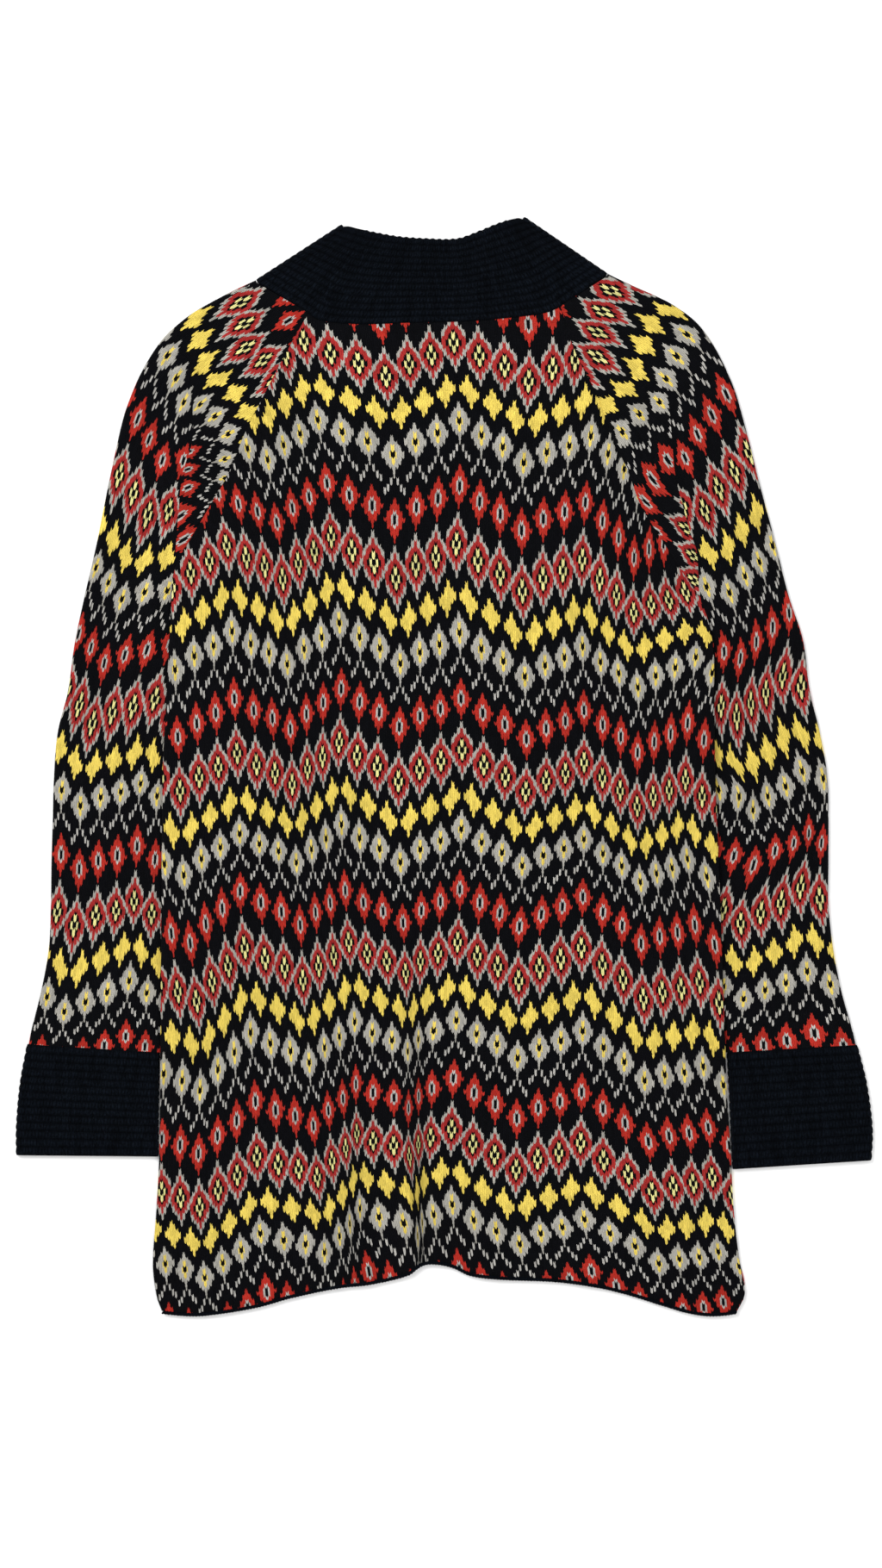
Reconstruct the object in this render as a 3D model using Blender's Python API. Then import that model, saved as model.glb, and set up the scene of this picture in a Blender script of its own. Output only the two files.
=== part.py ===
"""A shawl collar cardigan laid face down: back panel over two fronts, raglan sleeves, ribbed collar and cuffs.

Sizes are in millimetres until a mesh is made. x runs to the right across the back, y from the hem to the
neck, and z up from the surface that the cardigan lies on. Left is the wearer's left, at negative x.
"""

import math

import bmesh
import bpy

MM = 0.001

CLOTH = 2.4  # thickness of the knitted cloth
GAP = 0.3  # between two layers, and between pieces at a seam
UPPER = CLOTH + GAP  # height of the upper layer's underside
AXIS = CLOTH + GAP / 2  # height of the line that a fold turns round
OUTSIDE = CLOTH + GAP / 2  # radius of the outer side of a fold
INSIDE = GAP / 2  # radius of the inner side of a fold
SEAM = 0.45  # sideways room at a seam that slants

HEM_LINE = -432.0  # height at which the body's rows start
HEM_EDGE = 4.0  # height of the narrow edging
HEM_ROLL = 0.6  # the back's edging is rolled, and this much thicker than the cloth
FRONT_RISE = 5.0  # the fronts end this much higher than the back
HEM_BLEND = 70.0  # the hem's curve fades out over this height
NECK_BLEND = 90.0  # and the neckline's over this one

COLLAR_RIDGES = 13
CUFF_RIDGES = 14
RIDGE = 1.1  # height of a knitted ridge
FOLD_STEPS = 6
EDGE_ROUNDING = 0.9  # the cloth's upper side drops by this at a seam

LEFT_SEAM = -80.0  # the front bands' seams below the neck opening
RIGHT_SEAM = 61.0
LEFT_UNDERARM = 157.0
RIGHT_UNDERARM = 130.0
FRONT_NECK = 321.0  # height where the front raglan seams meet the collar
RAGLAN_STEPS = 8
BODY_STEPS = 24  # rows of the body below the underarms

SLEEVE_ROOM = 1.0  # between the body's side and a sleeve that lies beside it
LIFT = 5.7  # the body's sides lie this much higher, on the sleeves
LIFT_RUN = 24.0  # it rises over this length below the underarm
LIFT_END = -265.0  # and is down again here, over LIFT_FADE
LIFT_FADE = 50.0
LIFT_MARGIN = 20.0  # it stays up this far past the sleeve's edge
LIFT_RAMP = 38.0  # and comes down over this width

SAG = 2.1  # the upper layer sinks this far into the neck opening
SAG_MARGIN = 20.0
SAG_RAMP = 24.0
OPENING = (150.0, 344.0)  # heights between which the bands' free edges bound the neck opening
OPENING_SPREAD = 0.24  # above them it widens by this much for each millimetre of height

# Height, left edge and right edge of the body: side seams, then raglan seams, then the neck corners.
BODY_EDGES = (
    (-432, -223, 231),
    (-421, -227, 237),
    (-394, -230, 233),
    (-346, -227, 228),
    (-306, -225, 226),
    (-238, -224, 222),
    (-122, -223, 218),
    (-6, -222, 213.5),
    (56, -219, 212.5),
    (96, -217, 211.5),
    (130, -215, 203),
    (157, -213, 186),
    (176, -203, 174),
    (205, -186, 156),
    (231, -171, 146),
    (263, -158, 132),
    (293, -143, 121),
    (320, -129, 107),
    (345, -115, 97),
    (358, -108, 94),
    (364, -105, 92),
)
LEFT_NECK = 358.0  # heights of the back panel's two neck corners
RIGHT_NECK = 363.5

# The hem of the back, left to right.
HEM = (
    (-232, -430),
    (-223, -432),
    (-198, -434),
    (-176, -432),
    (-147, -427),
    (-122, -420),
    (-84, -412),
    (-58, -409),
    (-29, -402),
    (-19, -395),
    (-9, -393),
    (7, -396),
    (20, -402),
    (43, -405),
    (87, -407),
    (118, -411),
    (144, -417),
    (173, -426),
    (194, -432),
    (211, -434),
    (231, -432),
    (238, -429),
)

# The neckline between the corners.
NECKLINE = (
    (-108, 358),
    (-98, 352.5),
    (-66, 349.5),
    (-22, 351),
    (21, 352),
    (56, 355),
    (80, 358.5),
    (92.5, 363.5),
)

# Where each sleeve's courses end: height at the raglan or underarm seam, then the outer fold's x and y.
LEFT_SLEEVE = (
    (-225, -328, -218.5),
    (-212, -326, -208),
    (-177, -318, -176),
    (-142, -312, -142),
    (-108, -310.5, -108),
    (-75, -310, -74),
    (-42, -309, -40),
    (-8, -308, -6),
    (22, -305, 28),
    (52, -297, 60),
    (84, -292, 96),
    (112, -285, 130),
    (140, -274, 178),
    (157, -264, 228),
    (187, -251, 283),
    (242, -228, 330),
    (285, -203, 355),
    (315, -174, 372),
    (358, -149, 384),
)
RIGHT_SLEEVE = (
    (-225, 324.5, -219),
    (-213, 322, -208),
    (-177, 313, -176),
    (-142, 306.5, -142),
    (-108, 303, -108),
    (-75, 303, -74),
    (-42, 303, -40),
    (-10, 302, -6),
    (18, 296, 28),
    (46, 288, 62),
    (70, 283, 100),
    (98, 271, 137),
    (116, 260, 181),
    (130, 249, 222),
    (160, 239, 262),
    (205, 226, 305),
    (263, 203, 346),
    (296, 178, 366),
    (316, 150, 379),
    (363.5, 129, 389),
)

# How far a sleeve's underarm edge reaches under the body, by height.
TUCK = (
    (-240, 0),
    (-190, 0),
    (-177, 6),
    (-142, 21),
    (-108, 34),
    (-74, 43),
    (-40, 50),
    (-6, 52),
    (28, 47),
    (60, 30),
    (84, 10),
    (100, 0),
    (160, 0),
)

# Front raglan seams by height: left x, right x.
FRONT_RAGLAN = (
    (130, -224, 203),
    (157, -213, 190),
    (185, -198, 177),
    (232, -174, 154),
    (266, -156, 137),
    (296, -142, 123),
    (322, -129.5, 110.5),
)

# Front bands: height of the seam, its x, then the free edge's x and y.
LEFT_BAND = (
    (-420, -80, -12.5, -400),
    (-150, -80, -11.5, -150),
    (100, -80, -11, 100),
    (148, -80, -11, 158),
    (184, -84, -16, 203),
    (230, -97, -30, 253),
    (275, -112, -45, 298),
    (321, -126.5, -60, 344),
)
RIGHT_BAND = (
    (-420, 61, -6.5, -400),
    (-150, 61, -7.5, -150),
    (100, 61, -8, 100),
    (139, 61, -8, 150),
    (184, 64, -3, 203),
    (230, 78, 11, 253),
    (275, 93, 26, 298),
    (321, 107.5, 41, 344),
)
LOW_BAND_LINES = (-300, -150, 0, 100)
BAND_END = -420.0
BAND_TURN = (0.45, 0.5)  # share of the way from the neck seam's top to the fold, at the seam and the free edge

# The collar's outer edge across the back neck, left to right.
COLLAR_TOP = (
    (-81, 428),
    (-66, 424),
    (-39, 419),
    (-14, 417),
    (10, 417),
    (28, 423),
    (46, 430),
    (63, 434),
)
COLLAR_MIDDLE = (-62, 50)  # between these the collar's lines run straight up from the back neck
LEFT_SHOULDER = (-149, 384)
LEFT_PEAK = (-81, 428)
RIGHT_SHOULDER = (129, 389)
RIGHT_PEAK = (63, 434)
SHOULDER_ROOM = 0.6  # between the collar's fold and the sleeve's

# Cuffs: share of the way down, outer fold x and y, inner fold x and y.
LEFT_CUFF = (
    (0, -330, -219, -225.4, -225.6),
    (0.35, -335.5, -249, -225.8, -254),
    (0.75, -338.5, -283, -226.2, -286),
    (1, -338.5, -306, -226.2, -307),
)
RIGHT_CUFF = (
    (0, 326.5, -219.6, 223.6, -225.7),
    (0.35, 334, -250, 225.2, -257),
    (0.75, 338.5, -286, 226.8, -294),
    (1, 337.5, -310, 228, -317),
)

# Soft folds of the back: start x and y, end x and y, half width, height.
BACK_FOLDS = (
    (-27, -420, -24, -190, 7, 2.9),
    (-6, -420, -12, -215, 6, 2.2),
    (-62, -430, -67, -270, 8, 2.2),
    (-84, -430, -82, -300, 8, 1.3),
    (40, -430, 30, -330, 14, 1.2),
    (143, 205, 147, -80, 12, 2.0),
    (163, 150, 160, -20, 10, 1.0),
    (-104, 20, -101, -90, 12, 1.2),
    (-180, -440, -176, -330, 14, 1.6),
    (204, -440, 192, -320, 14, 1.7),
    (110, -430, 116, -360, 12, 1.2),
)
# The sleeves' creases lie where each arm turns down at the underarm, and across the forearm.
LEFT_SLEEVE_FOLDS = (
    (-206, 300, -219, 190, 9, 2.4),
    (-188, 285, -200, 215, 7, 1.6),
    (-222, 180, -228, 90, 9, 1.8),
    (-300, -104, -240, -108, 8, 1.3),
    (-296, 10, -250, 4, 9, 1.2),
)
RIGHT_SLEEVE_FOLDS = (
    (188, 300, 204, 190, 9, 2.4),
    (168, 285, 180, 225, 7, 1.6),
    (212, 185, 224, 100, 9, 2.0),
    (292, -104, 238, -110, 8, 1.3),
    (290, 60, 240, 50, 9, 1.2),
)

# Cross-section of a rolled edging: how far below its seam, and its height as a share from underside to top.
EDGE_UPPER = ((0, 0.8), (1.2, 1), (2.8, 1), (4, 0.5))
EDGE_LOWER = ((0, 0.12), (3, 0))

# Columns of the back, as shares of the way: side to band seam, between the seams, and seam to side.
LEFT_COLUMNS = (0, 0.025, 0.12, 0.25, 0.38, 0.52, 0.67, 0.83)
MIDDLE_COLUMNS = (0, 0.06, 0.13, 0.22, 0.31, 0.37, 0.41, 0.45, 0.49, 0.53, 0.6, 0.7, 0.84)
RIGHT_COLUMNS = (0, 0.14, 0.28, 0.42, 0.5, 0.56, 0.62, 0.7, 0.82, 0.975, 1)
COLLAR_EVERY = 3  # the collar takes every third of these columns at the neckline
# Lines along a sleeve, as shares of the way from its seam to its outer fold: upper layer, then lower.
SLEEVE_UPPER = (0, 0.1, 0.25, 0.4, 0.55, 0.7, 0.85)
SLEEVE_LOWER = (0.7, 0.4, 0)
CREASE_START = 4.0  # a sleeve's creases start this far from the body's side, and are full at CREASE_FULL
CREASE_FULL = 18.0
FLAT_SHARE = 0.25  # they are level again over this share of the sleeve at its fold
CUFF_COLUMNS = (4, 3)  # stretches across a cuff, in its upper and lower layer
COLLAR_PLAIN = 3  # stretches across the collar's plain side
FOLD_ENDS = 0.25  # a fold of the back rises over this share of its length

NAVY = (0.012, 0.014, 0.022)
PATTERN = (0.13, 0.07, 0.06)
WOOL_ROUGHNESS = 0.9


def smooth(share):
    """0 below 0, 1 above 1, and a soft step between."""
    share = min(max(share, 0.0), 1.0)
    return share * share * (3 - 2 * share)


def between(a, b, share):
    return a + (b - a) * share


def mix(a, b, share):
    return tuple(between(p, q, share) for p, q in zip(a, b))


def shares(count):
    return [i / count for i in range(count + 1)]


def through(rows, at):
    """The columns after the first, on smooth curves through the rows, where the first column is at."""
    places = [row[0] for row in rows]
    at = min(max(at, places[0]), places[-1])
    i = max(k for k in range(len(rows) - 1) if places[k] <= at)
    span = places[i + 1] - places[i]
    t = (at - places[i]) / span

    def slope(k, column):
        low, high = max(k - 1, 0), min(k + 1, len(rows) - 1)
        return (rows[high][column] - rows[low][column]) / (places[high] - places[low])

    found = []
    for column in range(1, len(rows[0])):
        start, end = rows[i][column], rows[i + 1][column]
        leave, arrive = slope(i, column) * span, slope(i + 1, column) * span
        found.append(
            start * (1 + 2 * t) * (1 - t) ** 2
            + end * t * t * (3 - 2 * t)
            + leave * t * (1 - t) ** 2
            - arrive * t * t * (1 - t)
        )
    return tuple(found)


def across(start, end):
    """The unit vector from start to end."""
    x, y = end[0] - start[0], end[1] - start[1]
    length = math.hypot(x, y)
    return x / length, y / length


def folds(table, x, y):
    """Height that soft folds add at a point."""
    total = 0.0
    for x0, y0, x1, y1, half_width, height in table:
        along_x, along_y = across((x0, y0), (x1, y1))
        length = math.hypot(x1 - x0, y1 - y0)
        along = ((x - x0) * along_x + (y - y0) * along_y) / length
        aside = (x - x0) * along_y - (y - y0) * along_x
        ends = smooth(along / FOLD_ENDS) * smooth((1 - along) / FOLD_ENDS)
        total += height * ends * math.exp(-((aside / half_width) ** 2))
    return total


def lift(x, y):
    """How much higher the body lies where a sleeve is tucked under its side."""
    left, right = through(BODY_EDGES, y)
    reach = through(TUCK, y)[0] + LIFT_MARGIN
    down = smooth((y - LIFT_END) / LIFT_FADE)
    total = 0.0
    for inward, underarm in ((x - left, LEFT_UNDERARM), (right - x, RIGHT_UNDERARM)):
        up = smooth((underarm - y) / LIFT_RUN)
        total += LIFT * up * down * (1 - smooth((inward - reach) / LIFT_RAMP))
    return total


def sag(x, y):
    """How far the upper layer sinks between the front bands, inside the neck opening."""
    bottom, top = OPENING
    seam = FRONT_NECK - (top - min(max(y, bottom), top))
    above = max(y - top, 0) * OPENING_SPREAD
    left = through(LEFT_BAND, seam)[1] - above
    right = through(RIGHT_BAND, seam)[1] + above
    inside = smooth((x - left - SAG_MARGIN) / SAG_RAMP) * smooth((right - x - SAG_MARGIN) / SAG_RAMP)
    return SAG * inside


def ridge(j):
    """Height of a knitted ridge at the j-th line across: grooves at even lines, crests at odd ones."""
    return RIDGE * (j % 2)


def wall(name, outer, inner, colour, closed=False):
    """One closed solid between two faces, as rows of points; closed joins the last row to the first."""
    verts = [p for row in outer for p in row] + [p for row in inner for p in row]
    wide, narrow = len(outer[0]), len(inner[0])
    start = len(outer) * wide

    def out(i, j):
        return (i % len(outer)) * wide + j

    def into(i, j):
        return start + (i % len(inner)) * narrow + j

    faces = []
    for i in range(len(outer) if closed else len(outer) - 1):
        for at, count in ((out, wide), (into, narrow)):
            for j in range(count - 1):
                a, b, c, d = at(i, j), at(i, j + 1), at(i + 1, j + 1), at(i + 1, j)
                faces += [(a, b, c), (a, c, d)] if at is out else [(a, c, b), (a, d, c)]
        for j, k in ((0, 0), (wide - 1, narrow - 1)):
            rim = [out(i, j), out(i + 1, j), into(i + 1, k), into(i, k)]
            faces.append(rim if j == 0 else rim[::-1])
    if not closed:
        for i in (0, len(outer) - 1):
            if wide == narrow:
                caps = [[out(i, j), into(i, j), into(i, j + 1), out(i, j + 1)] for j in range(wide - 1)]
            else:
                caps = [[out(i, j) for j in range(wide)] + [into(i, j) for j in reversed(range(narrow))]]
            faces += [cap if i == 0 else cap[::-1] for cap in caps]
    return solid(name, verts, faces, colour)


def solid(name, verts, faces, colour):
    mesh = bpy.data.meshes.new(name)
    mesh.from_pydata([(x * MM, y * MM, z * MM) for x, y, z in verts], [], faces)
    turned = bmesh.new()
    turned.from_mesh(mesh)
    bmesh.ops.recalc_face_normals(turned, faces=turned.faces)
    turned.to_mesh(mesh)
    turned.free()
    obj = bpy.data.objects.new(name, mesh)
    bpy.context.scene.collection.objects.link(obj)
    mesh.materials.append(wool(name, colour))
    mesh.shade_smooth()
    return obj


def wool(name, colour):
    material = bpy.data.materials.new(name)
    material.use_nodes = True
    shader = material.node_tree.nodes["Principled BSDF"]
    shader.inputs["Base Color"].default_value = (*colour, 1)
    shader.inputs["Roughness"].default_value = WOOL_ROUGHNESS
    shader.inputs["Metallic"].default_value = 0
    return material


def hem_y(x):
    return through(HEM, x)[0]


def body_rows():
    """Heights of the body's rows at its left and at its right edge, from the hem to the neck."""
    rows = []
    underarm = (LEFT_UNDERARM, RIGHT_UNDERARM)
    for share in shares(BODY_STEPS)[:-1]:
        rows.append(mix((HEM_LINE, HEM_LINE), underarm, share))
    for share in shares(RAGLAN_STEPS):
        rows.append(mix(underarm, (LEFT_NECK, RIGHT_NECK), share))
    return rows


def body_row(left_y, right_y, hem_rise):
    """The points of one row of the body, left to right, as (x, y), with the hem's curve near the hem."""
    left, right = through(BODY_EDGES, left_y)[0], through(BODY_EDGES, right_y)[1]
    columns = [between(left, LEFT_SEAM, share) for share in LEFT_COLUMNS]
    columns += [between(LEFT_SEAM, RIGHT_SEAM, share) for share in MIDDLE_COLUMNS]
    columns += [between(RIGHT_SEAM, right, share) for share in RIGHT_COLUMNS]
    row = []
    for x in columns:
        y = between(left_y, right_y, (x - left) / (right - left))
        near_hem = 1 - smooth((y - HEM_LINE) / HEM_BLEND)
        row.append((x, y + near_hem * (hem_y(x) - HEM_LINE + hem_rise)))
    return row


def back_grid():
    """Rows of (x, y) over the back panel, and the places of the collar's lines on its neckline."""
    rows = [body_row(left, right, HEM_EDGE + GAP) for left, right in body_rows()]
    top = rows[-1]
    last = len(top) - 1
    knots = sorted({*range(0, last, COLLAR_EVERY), last})
    dip = []
    for j, (x, y) in enumerate(top):
        a = max(k for k in knots if k <= j)
        b = min(k for k in knots if k >= j)
        share = (x - top[a][0]) / (top[b][0] - top[a][0]) if b > a else 0
        line = mix(through(NECKLINE, top[a][0]), through(NECKLINE, top[b][0]), share)[0]
        dip.append(line - y)
    for i, (left, _) in enumerate(body_rows()):
        near_neck = smooth((left - (LEFT_NECK - NECK_BLEND)) / NECK_BLEND)
        rows[i] = [(x, y + near_neck * down) for (x, y), down in zip(rows[i], dip)]
    return rows, [rows[-1][j] for j in knots]


def back_height(x, y):
    """Height of the back panel's underside."""
    return UPPER + lift(x, y) + folds(BACK_FOLDS, x, y) - sag(x, y)


def back_panel(rows):
    outer, inner = [], []
    last = len(rows[0]) - 1
    for row in rows:
        outer.append([])
        inner.append([])
        for j, (x, y) in enumerate(row):
            low = back_height(x, y)
            rounded = EDGE_ROUNDING if j in (0, last) else 0
            inner[-1].append((x, y, low))
            outer[-1].append((x, y, low + CLOTH - rounded))
    wall("back_panel", outer, inner, PATTERN)


def front_edge(side, y):
    """x of a front's raglan seam."""
    return through(FRONT_RAGLAN, y)[0 if side < 0 else 1]


def raglan_heights(side):
    """Heights of the front raglan seam's points, from the underarm up."""
    underarm = LEFT_UNDERARM if side < 0 else RIGHT_UNDERARM
    return [between(underarm, FRONT_RAGLAN[-1][0], share) for share in shares(RAGLAN_STEPS)]


def seam_heights(start):
    """Heights of the front neck seam's points, from the row at the underarm up."""
    return [between(start, FRONT_NECK, share) for share in shares(RAGLAN_STEPS)]


def front_rows(side):
    """Rows of (x, y) over one front, and the height at which its neck seam starts."""
    count = len(LEFT_COLUMNS) if side < 0 else len(RIGHT_COLUMNS) - 1
    rows = []
    for left, right in body_rows()[: BODY_STEPS + 1]:
        row = body_row(left, right, FRONT_RISE + HEM_EDGE + GAP)
        rows.append(row[: count + 1] if side < 0 else row[-count - 1 :])
    start = rows[-1][-1 if side < 0 else 0][1]
    for y, seam in list(zip(raglan_heights(side), seam_heights(start)))[1:]:
        edge = (front_edge(side, y), y)
        inner = (through(LEFT_BAND if side < 0 else RIGHT_BAND, seam)[0], seam)
        if side < 0:
            rows.append([mix(edge, inner, share) for share in (*LEFT_COLUMNS, 1)])
        else:
            rows.append([mix(inner, edge, share) for share in RIGHT_COLUMNS])
    return rows, start


def front_panel(name, side):
    rows, start = front_rows(side)
    outer = [[(x, y, lift(x, y)) for x, y in row] for row in rows]
    inner = [[(x, y, lift(x, y) + CLOTH) for x, y in row] for row in rows]
    wall(name, outer, inner, PATTERN)
    return rows[0], start


def edging(name, line, low, thick):
    """An edging below a line of points: low holds the heights of its underside."""
    outer, inner = [], []
    for (x, y), bottom in zip(line, low):
        seam = y - GAP
        outer.append([(x, seam - down, bottom + thick * share) for down, share in EDGE_UPPER])
        inner.append([(x, seam - down, bottom + thick * share) for down, share in EDGE_LOWER])
    wall(name, outer, inner, NAVY)


def hem_edges(back_line, left_line, right_line):
    edging("hem_edge_back", back_line, [back_height(x, y) for x, y in back_line], CLOTH + HEM_ROLL)
    edging("hem_edge_front_left", left_line, [0] * len(left_line), CLOTH)
    edging("hem_edge_front_right", right_line, [0] * len(right_line), CLOTH)


def normals(points, side):
    """Unit normals of a line of points, towards the given side in x or, on a level line, upwards."""
    found = []
    for i in range(len(points)):
        x, y = across(points[max(i - 1, 0)], points[min(i + 1, len(points) - 1)])
        found.append((-y, x) if -y * side > 0 else (y, -x))
    return found


def round_fold(axis, n, radius, angle):
    """The point of a fold at that radius and angle, where axis is a point (x, y) of the line it turns round."""
    reach = radius * math.sin(angle)
    return axis[0] + n[0] * reach, axis[1] + n[1] * reach, AXIS + radius * math.cos(angle)


def sleeve_courses(side):
    """Each course of a sleeve: its point on the back, its outer fold and its point on the front."""
    table = LEFT_SLEEVE if side < 0 else RIGHT_SLEEVE
    underarm = LEFT_UNDERARM if side < 0 else RIGHT_UNDERARM
    column = 0 if side < 0 else 1
    courses = []
    for y, outer_x, outer_y in table:
        if y >= underarm:
            break
        edge = through(BODY_EDGES, y)[column]
        x = edge + side * SLEEVE_ROOM - side * through(TUCK, y)[0]
        courses.append(((x, y), (outer_x, outer_y), (x, y)))
    back = [row[column] for row in body_rows()[BODY_STEPS:]]
    for y, front_y in zip(back, raglan_heights(side)):
        edge = through(BODY_EDGES, y)[column] + side * SEAM
        front = front_edge(side, front_y) + side * SEAM
        courses.append(((edge, y), through(table, y), (front, front_y)))
    return courses


def sleeve_crease(side, x, y, share):
    """Height of a sleeve's creases, level beside the body, where it is tucked in, and at the outer fold."""
    edge = through(BODY_EDGES, y)[0 if side < 0 else 1]
    beside = smooth((side * (x - edge) - CREASE_START) / (CREASE_FULL - CREASE_START))
    creases = LEFT_SLEEVE_FOLDS if side < 0 else RIGHT_SLEEVE_FOLDS
    return folds(creases, x, y) * beside * smooth((1 - share) / FLAT_SHARE)


def sleeve(name, side):
    courses = sleeve_courses(side)
    out = normals([fold for _, fold, _ in courses], side)
    outer_face, inner_face = [], []
    for (back, fold, front), n in zip(courses, out):
        axis = (fold[0] - n[0] * OUTSIDE, fold[1] - n[1] * OUTSIDE)
        outer_row, inner_row = [], []
        for share in SLEEVE_UPPER:
            x, y = mix(back, axis, share)
            above = sleeve_crease(side, x, y, share)
            outer_row.append((x, y, AXIS + OUTSIDE + above))
            inner_row.append((x, y, AXIS + INSIDE + above))
        for share in shares(FOLD_STEPS):
            outer_row.append(round_fold(axis, n, OUTSIDE, math.pi * share))
            inner_row.append(round_fold(axis, n, INSIDE, math.pi * share))
        for share in SLEEVE_LOWER:
            x, y = mix(front, axis, share)
            outer_row.append((x, y, AXIS - OUTSIDE))
            inner_row.append((x, y, AXIS - INSIDE))
        outer_face.append(outer_row)
        inner_face.append(inner_row)
    wall(name, outer_face, inner_face, PATTERN)


def shown(angle):
    """1 where cloth faces up or out, and 0 where it lies on the surface."""
    return smooth((math.pi - angle) / (math.pi / 2))


def cuff_ring(side, down, radius, crest):
    """The points round a flattened cuff, at that share of the way down it, with a ridge of that height."""
    outer_x, outer_y, inner_x, inner_y = through(LEFT_CUFF if side < 0 else RIGHT_CUFF, down)
    n = across((inner_x, inner_y), (outer_x, outer_y))
    inset = OUTSIDE + RIDGE
    far = (outer_x - n[0] * inset, outer_y - n[1] * inset)
    near = (inner_x + n[0] * inset, inner_y + n[1] * inset)
    upper, lower = CUFF_COLUMNS
    ring = [(*mix(near, far, share), AXIS + radius + crest) for share in shares(upper)[:-1]]
    for share in shares(FOLD_STEPS):
        angle = math.pi * share
        ring.append(round_fold(far, n, radius + crest * shown(angle), angle))
    ring += [(*mix(far, near, share), AXIS - radius) for share in shares(lower)[1:-1]]
    for share in shares(FOLD_STEPS)[:-1]:
        angle = math.pi * (1 - share)
        ring.append(round_fold(near, (-n[0], -n[1]), radius + crest * shown(angle), angle))
    return ring


def cuff(name, side):
    """A ribbed tube, pressed flat, whose ridges run round it and fade out where it lies on the surface."""
    lines = shares(2 * CUFF_RIDGES)
    outer = [cuff_ring(side, down, OUTSIDE, ridge(j)) for j, down in enumerate(lines)]
    inner = [cuff_ring(side, down, INSIDE, 0) for down in (0, 1)]
    wall(name, list(zip(*outer)), list(zip(*inner)), NAVY, closed=True)


def collar_half(side, start, corner):
    """Lines across one half of the collar, from the hem to the neckline's corner.

    A line is (seam point, free point, fold normal, angle), with angle 0 in the upper layer and pi in the lower.
    """
    level = (0, 1)
    if side < 0:
        seam_x, band, shoulder, peak = LEFT_SEAM, LEFT_BAND, LEFT_SHOULDER, LEFT_PEAK
    else:
        seam_x, band, shoulder, peak = RIGHT_SEAM, RIGHT_BAND, RIGHT_SHOULDER, RIGHT_PEAK
    free_x = through(band, BAND_END)[1]
    seam = (seam_x - side * SEAM, hem_y(seam_x) + FRONT_RISE)
    lines = [(seam, (free_x, hem_y(free_x) + FRONT_RISE), level, math.pi)]
    for y in (*LOW_BAND_LINES, *seam_heights(start)):
        x, free_x, free_y = through(band, y)
        lines.append(((x - side * SEAM, y), (free_x, free_y), level, math.pi))
    along = across(shoulder, peak)
    n = (along[1] * side, -along[0] * side)
    shoulder = (shoulder[0] + along[0] * SHOULDER_ROOM, shoulder[1] + along[1] * SHOULDER_ROOM)
    hinge = [(p[0] - n[0] * OUTSIDE, p[1] - n[1] * OUTSIDE) for p in (shoulder, peak)]
    seam, free = (mix(p, q, share) for p, q, share in zip(lines[-1][:2], hinge, BAND_TURN))
    lines.append((seam, free, level, math.pi))
    lines += [(*hinge, n, math.pi * (1 - share)) for share in shares(FOLD_STEPS)]
    top_x = COLLAR_MIDDLE[0 if side < 0 else 1]
    top = (top_x, through(COLLAR_TOP, top_x)[0])
    lines.append((mix(hinge[0], corner, 0.5), mix(hinge[1], top, 0.5), level, 0.0))
    return lines


def collar(neck, left_start, right_start):
    lines = collar_half(-1, left_start, neck[0])
    for (x, y), share in zip(neck, shares(len(neck) - 1)):
        free_x = between(*COLLAR_MIDDLE, share)
        lines.append(((x, y + SEAM), (free_x, through(COLLAR_TOP, free_x)[0]), (0, 1), 0.0))
    lines += collar_half(1, right_start, neck[-1])[::-1]
    outer_face, inner_face = [], []
    for seam, free, n, angle in lines:
        for face, count, radius, crest in (
            (outer_face, 2 * COLLAR_RIDGES, OUTSIDE, shown(angle)),
            (inner_face, COLLAR_PLAIN, INSIDE, 0),
        ):
            face.append([])
            for j, share in enumerate(shares(count)):
                axis = mix(seam, free, share)
                x, y, z = round_fold(axis, n, radius + ridge(j) * crest, angle)
                face[-1].append((x, y, z - sag(x, y) if angle == 0 else z))
    wall("collar", outer_face, inner_face, NAVY)


def main():
    for obj in list(bpy.data.objects):
        bpy.data.objects.remove(obj, do_unlink=True)
    rows, neck = back_grid()
    back_panel(rows)
    left_line, left_start = front_panel("front_left", -1)
    right_line, right_start = front_panel("front_right", 1)
    hem_edges(rows[0], left_line, right_line)
    sleeve("sleeve_left", -1)
    sleeve("sleeve_right", 1)
    cuff("cuff_left", -1)
    cuff("cuff_right", 1)
    collar(neck, left_start, right_start)


main()
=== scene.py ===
"""A shawl collar cardigan laid face down: every knitted piece as a thin shell on its solid's form.

Run as a script in Blender 4.5. Lengths in the tables are millimetres: x runs to the right across the back,
y from the hem to the neck, and z up from the floor. Meshes are in metres. Left is the wearer's left, at
negative x, and where a value has two parts, one for each side, the left one is first.
"""

import math

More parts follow.
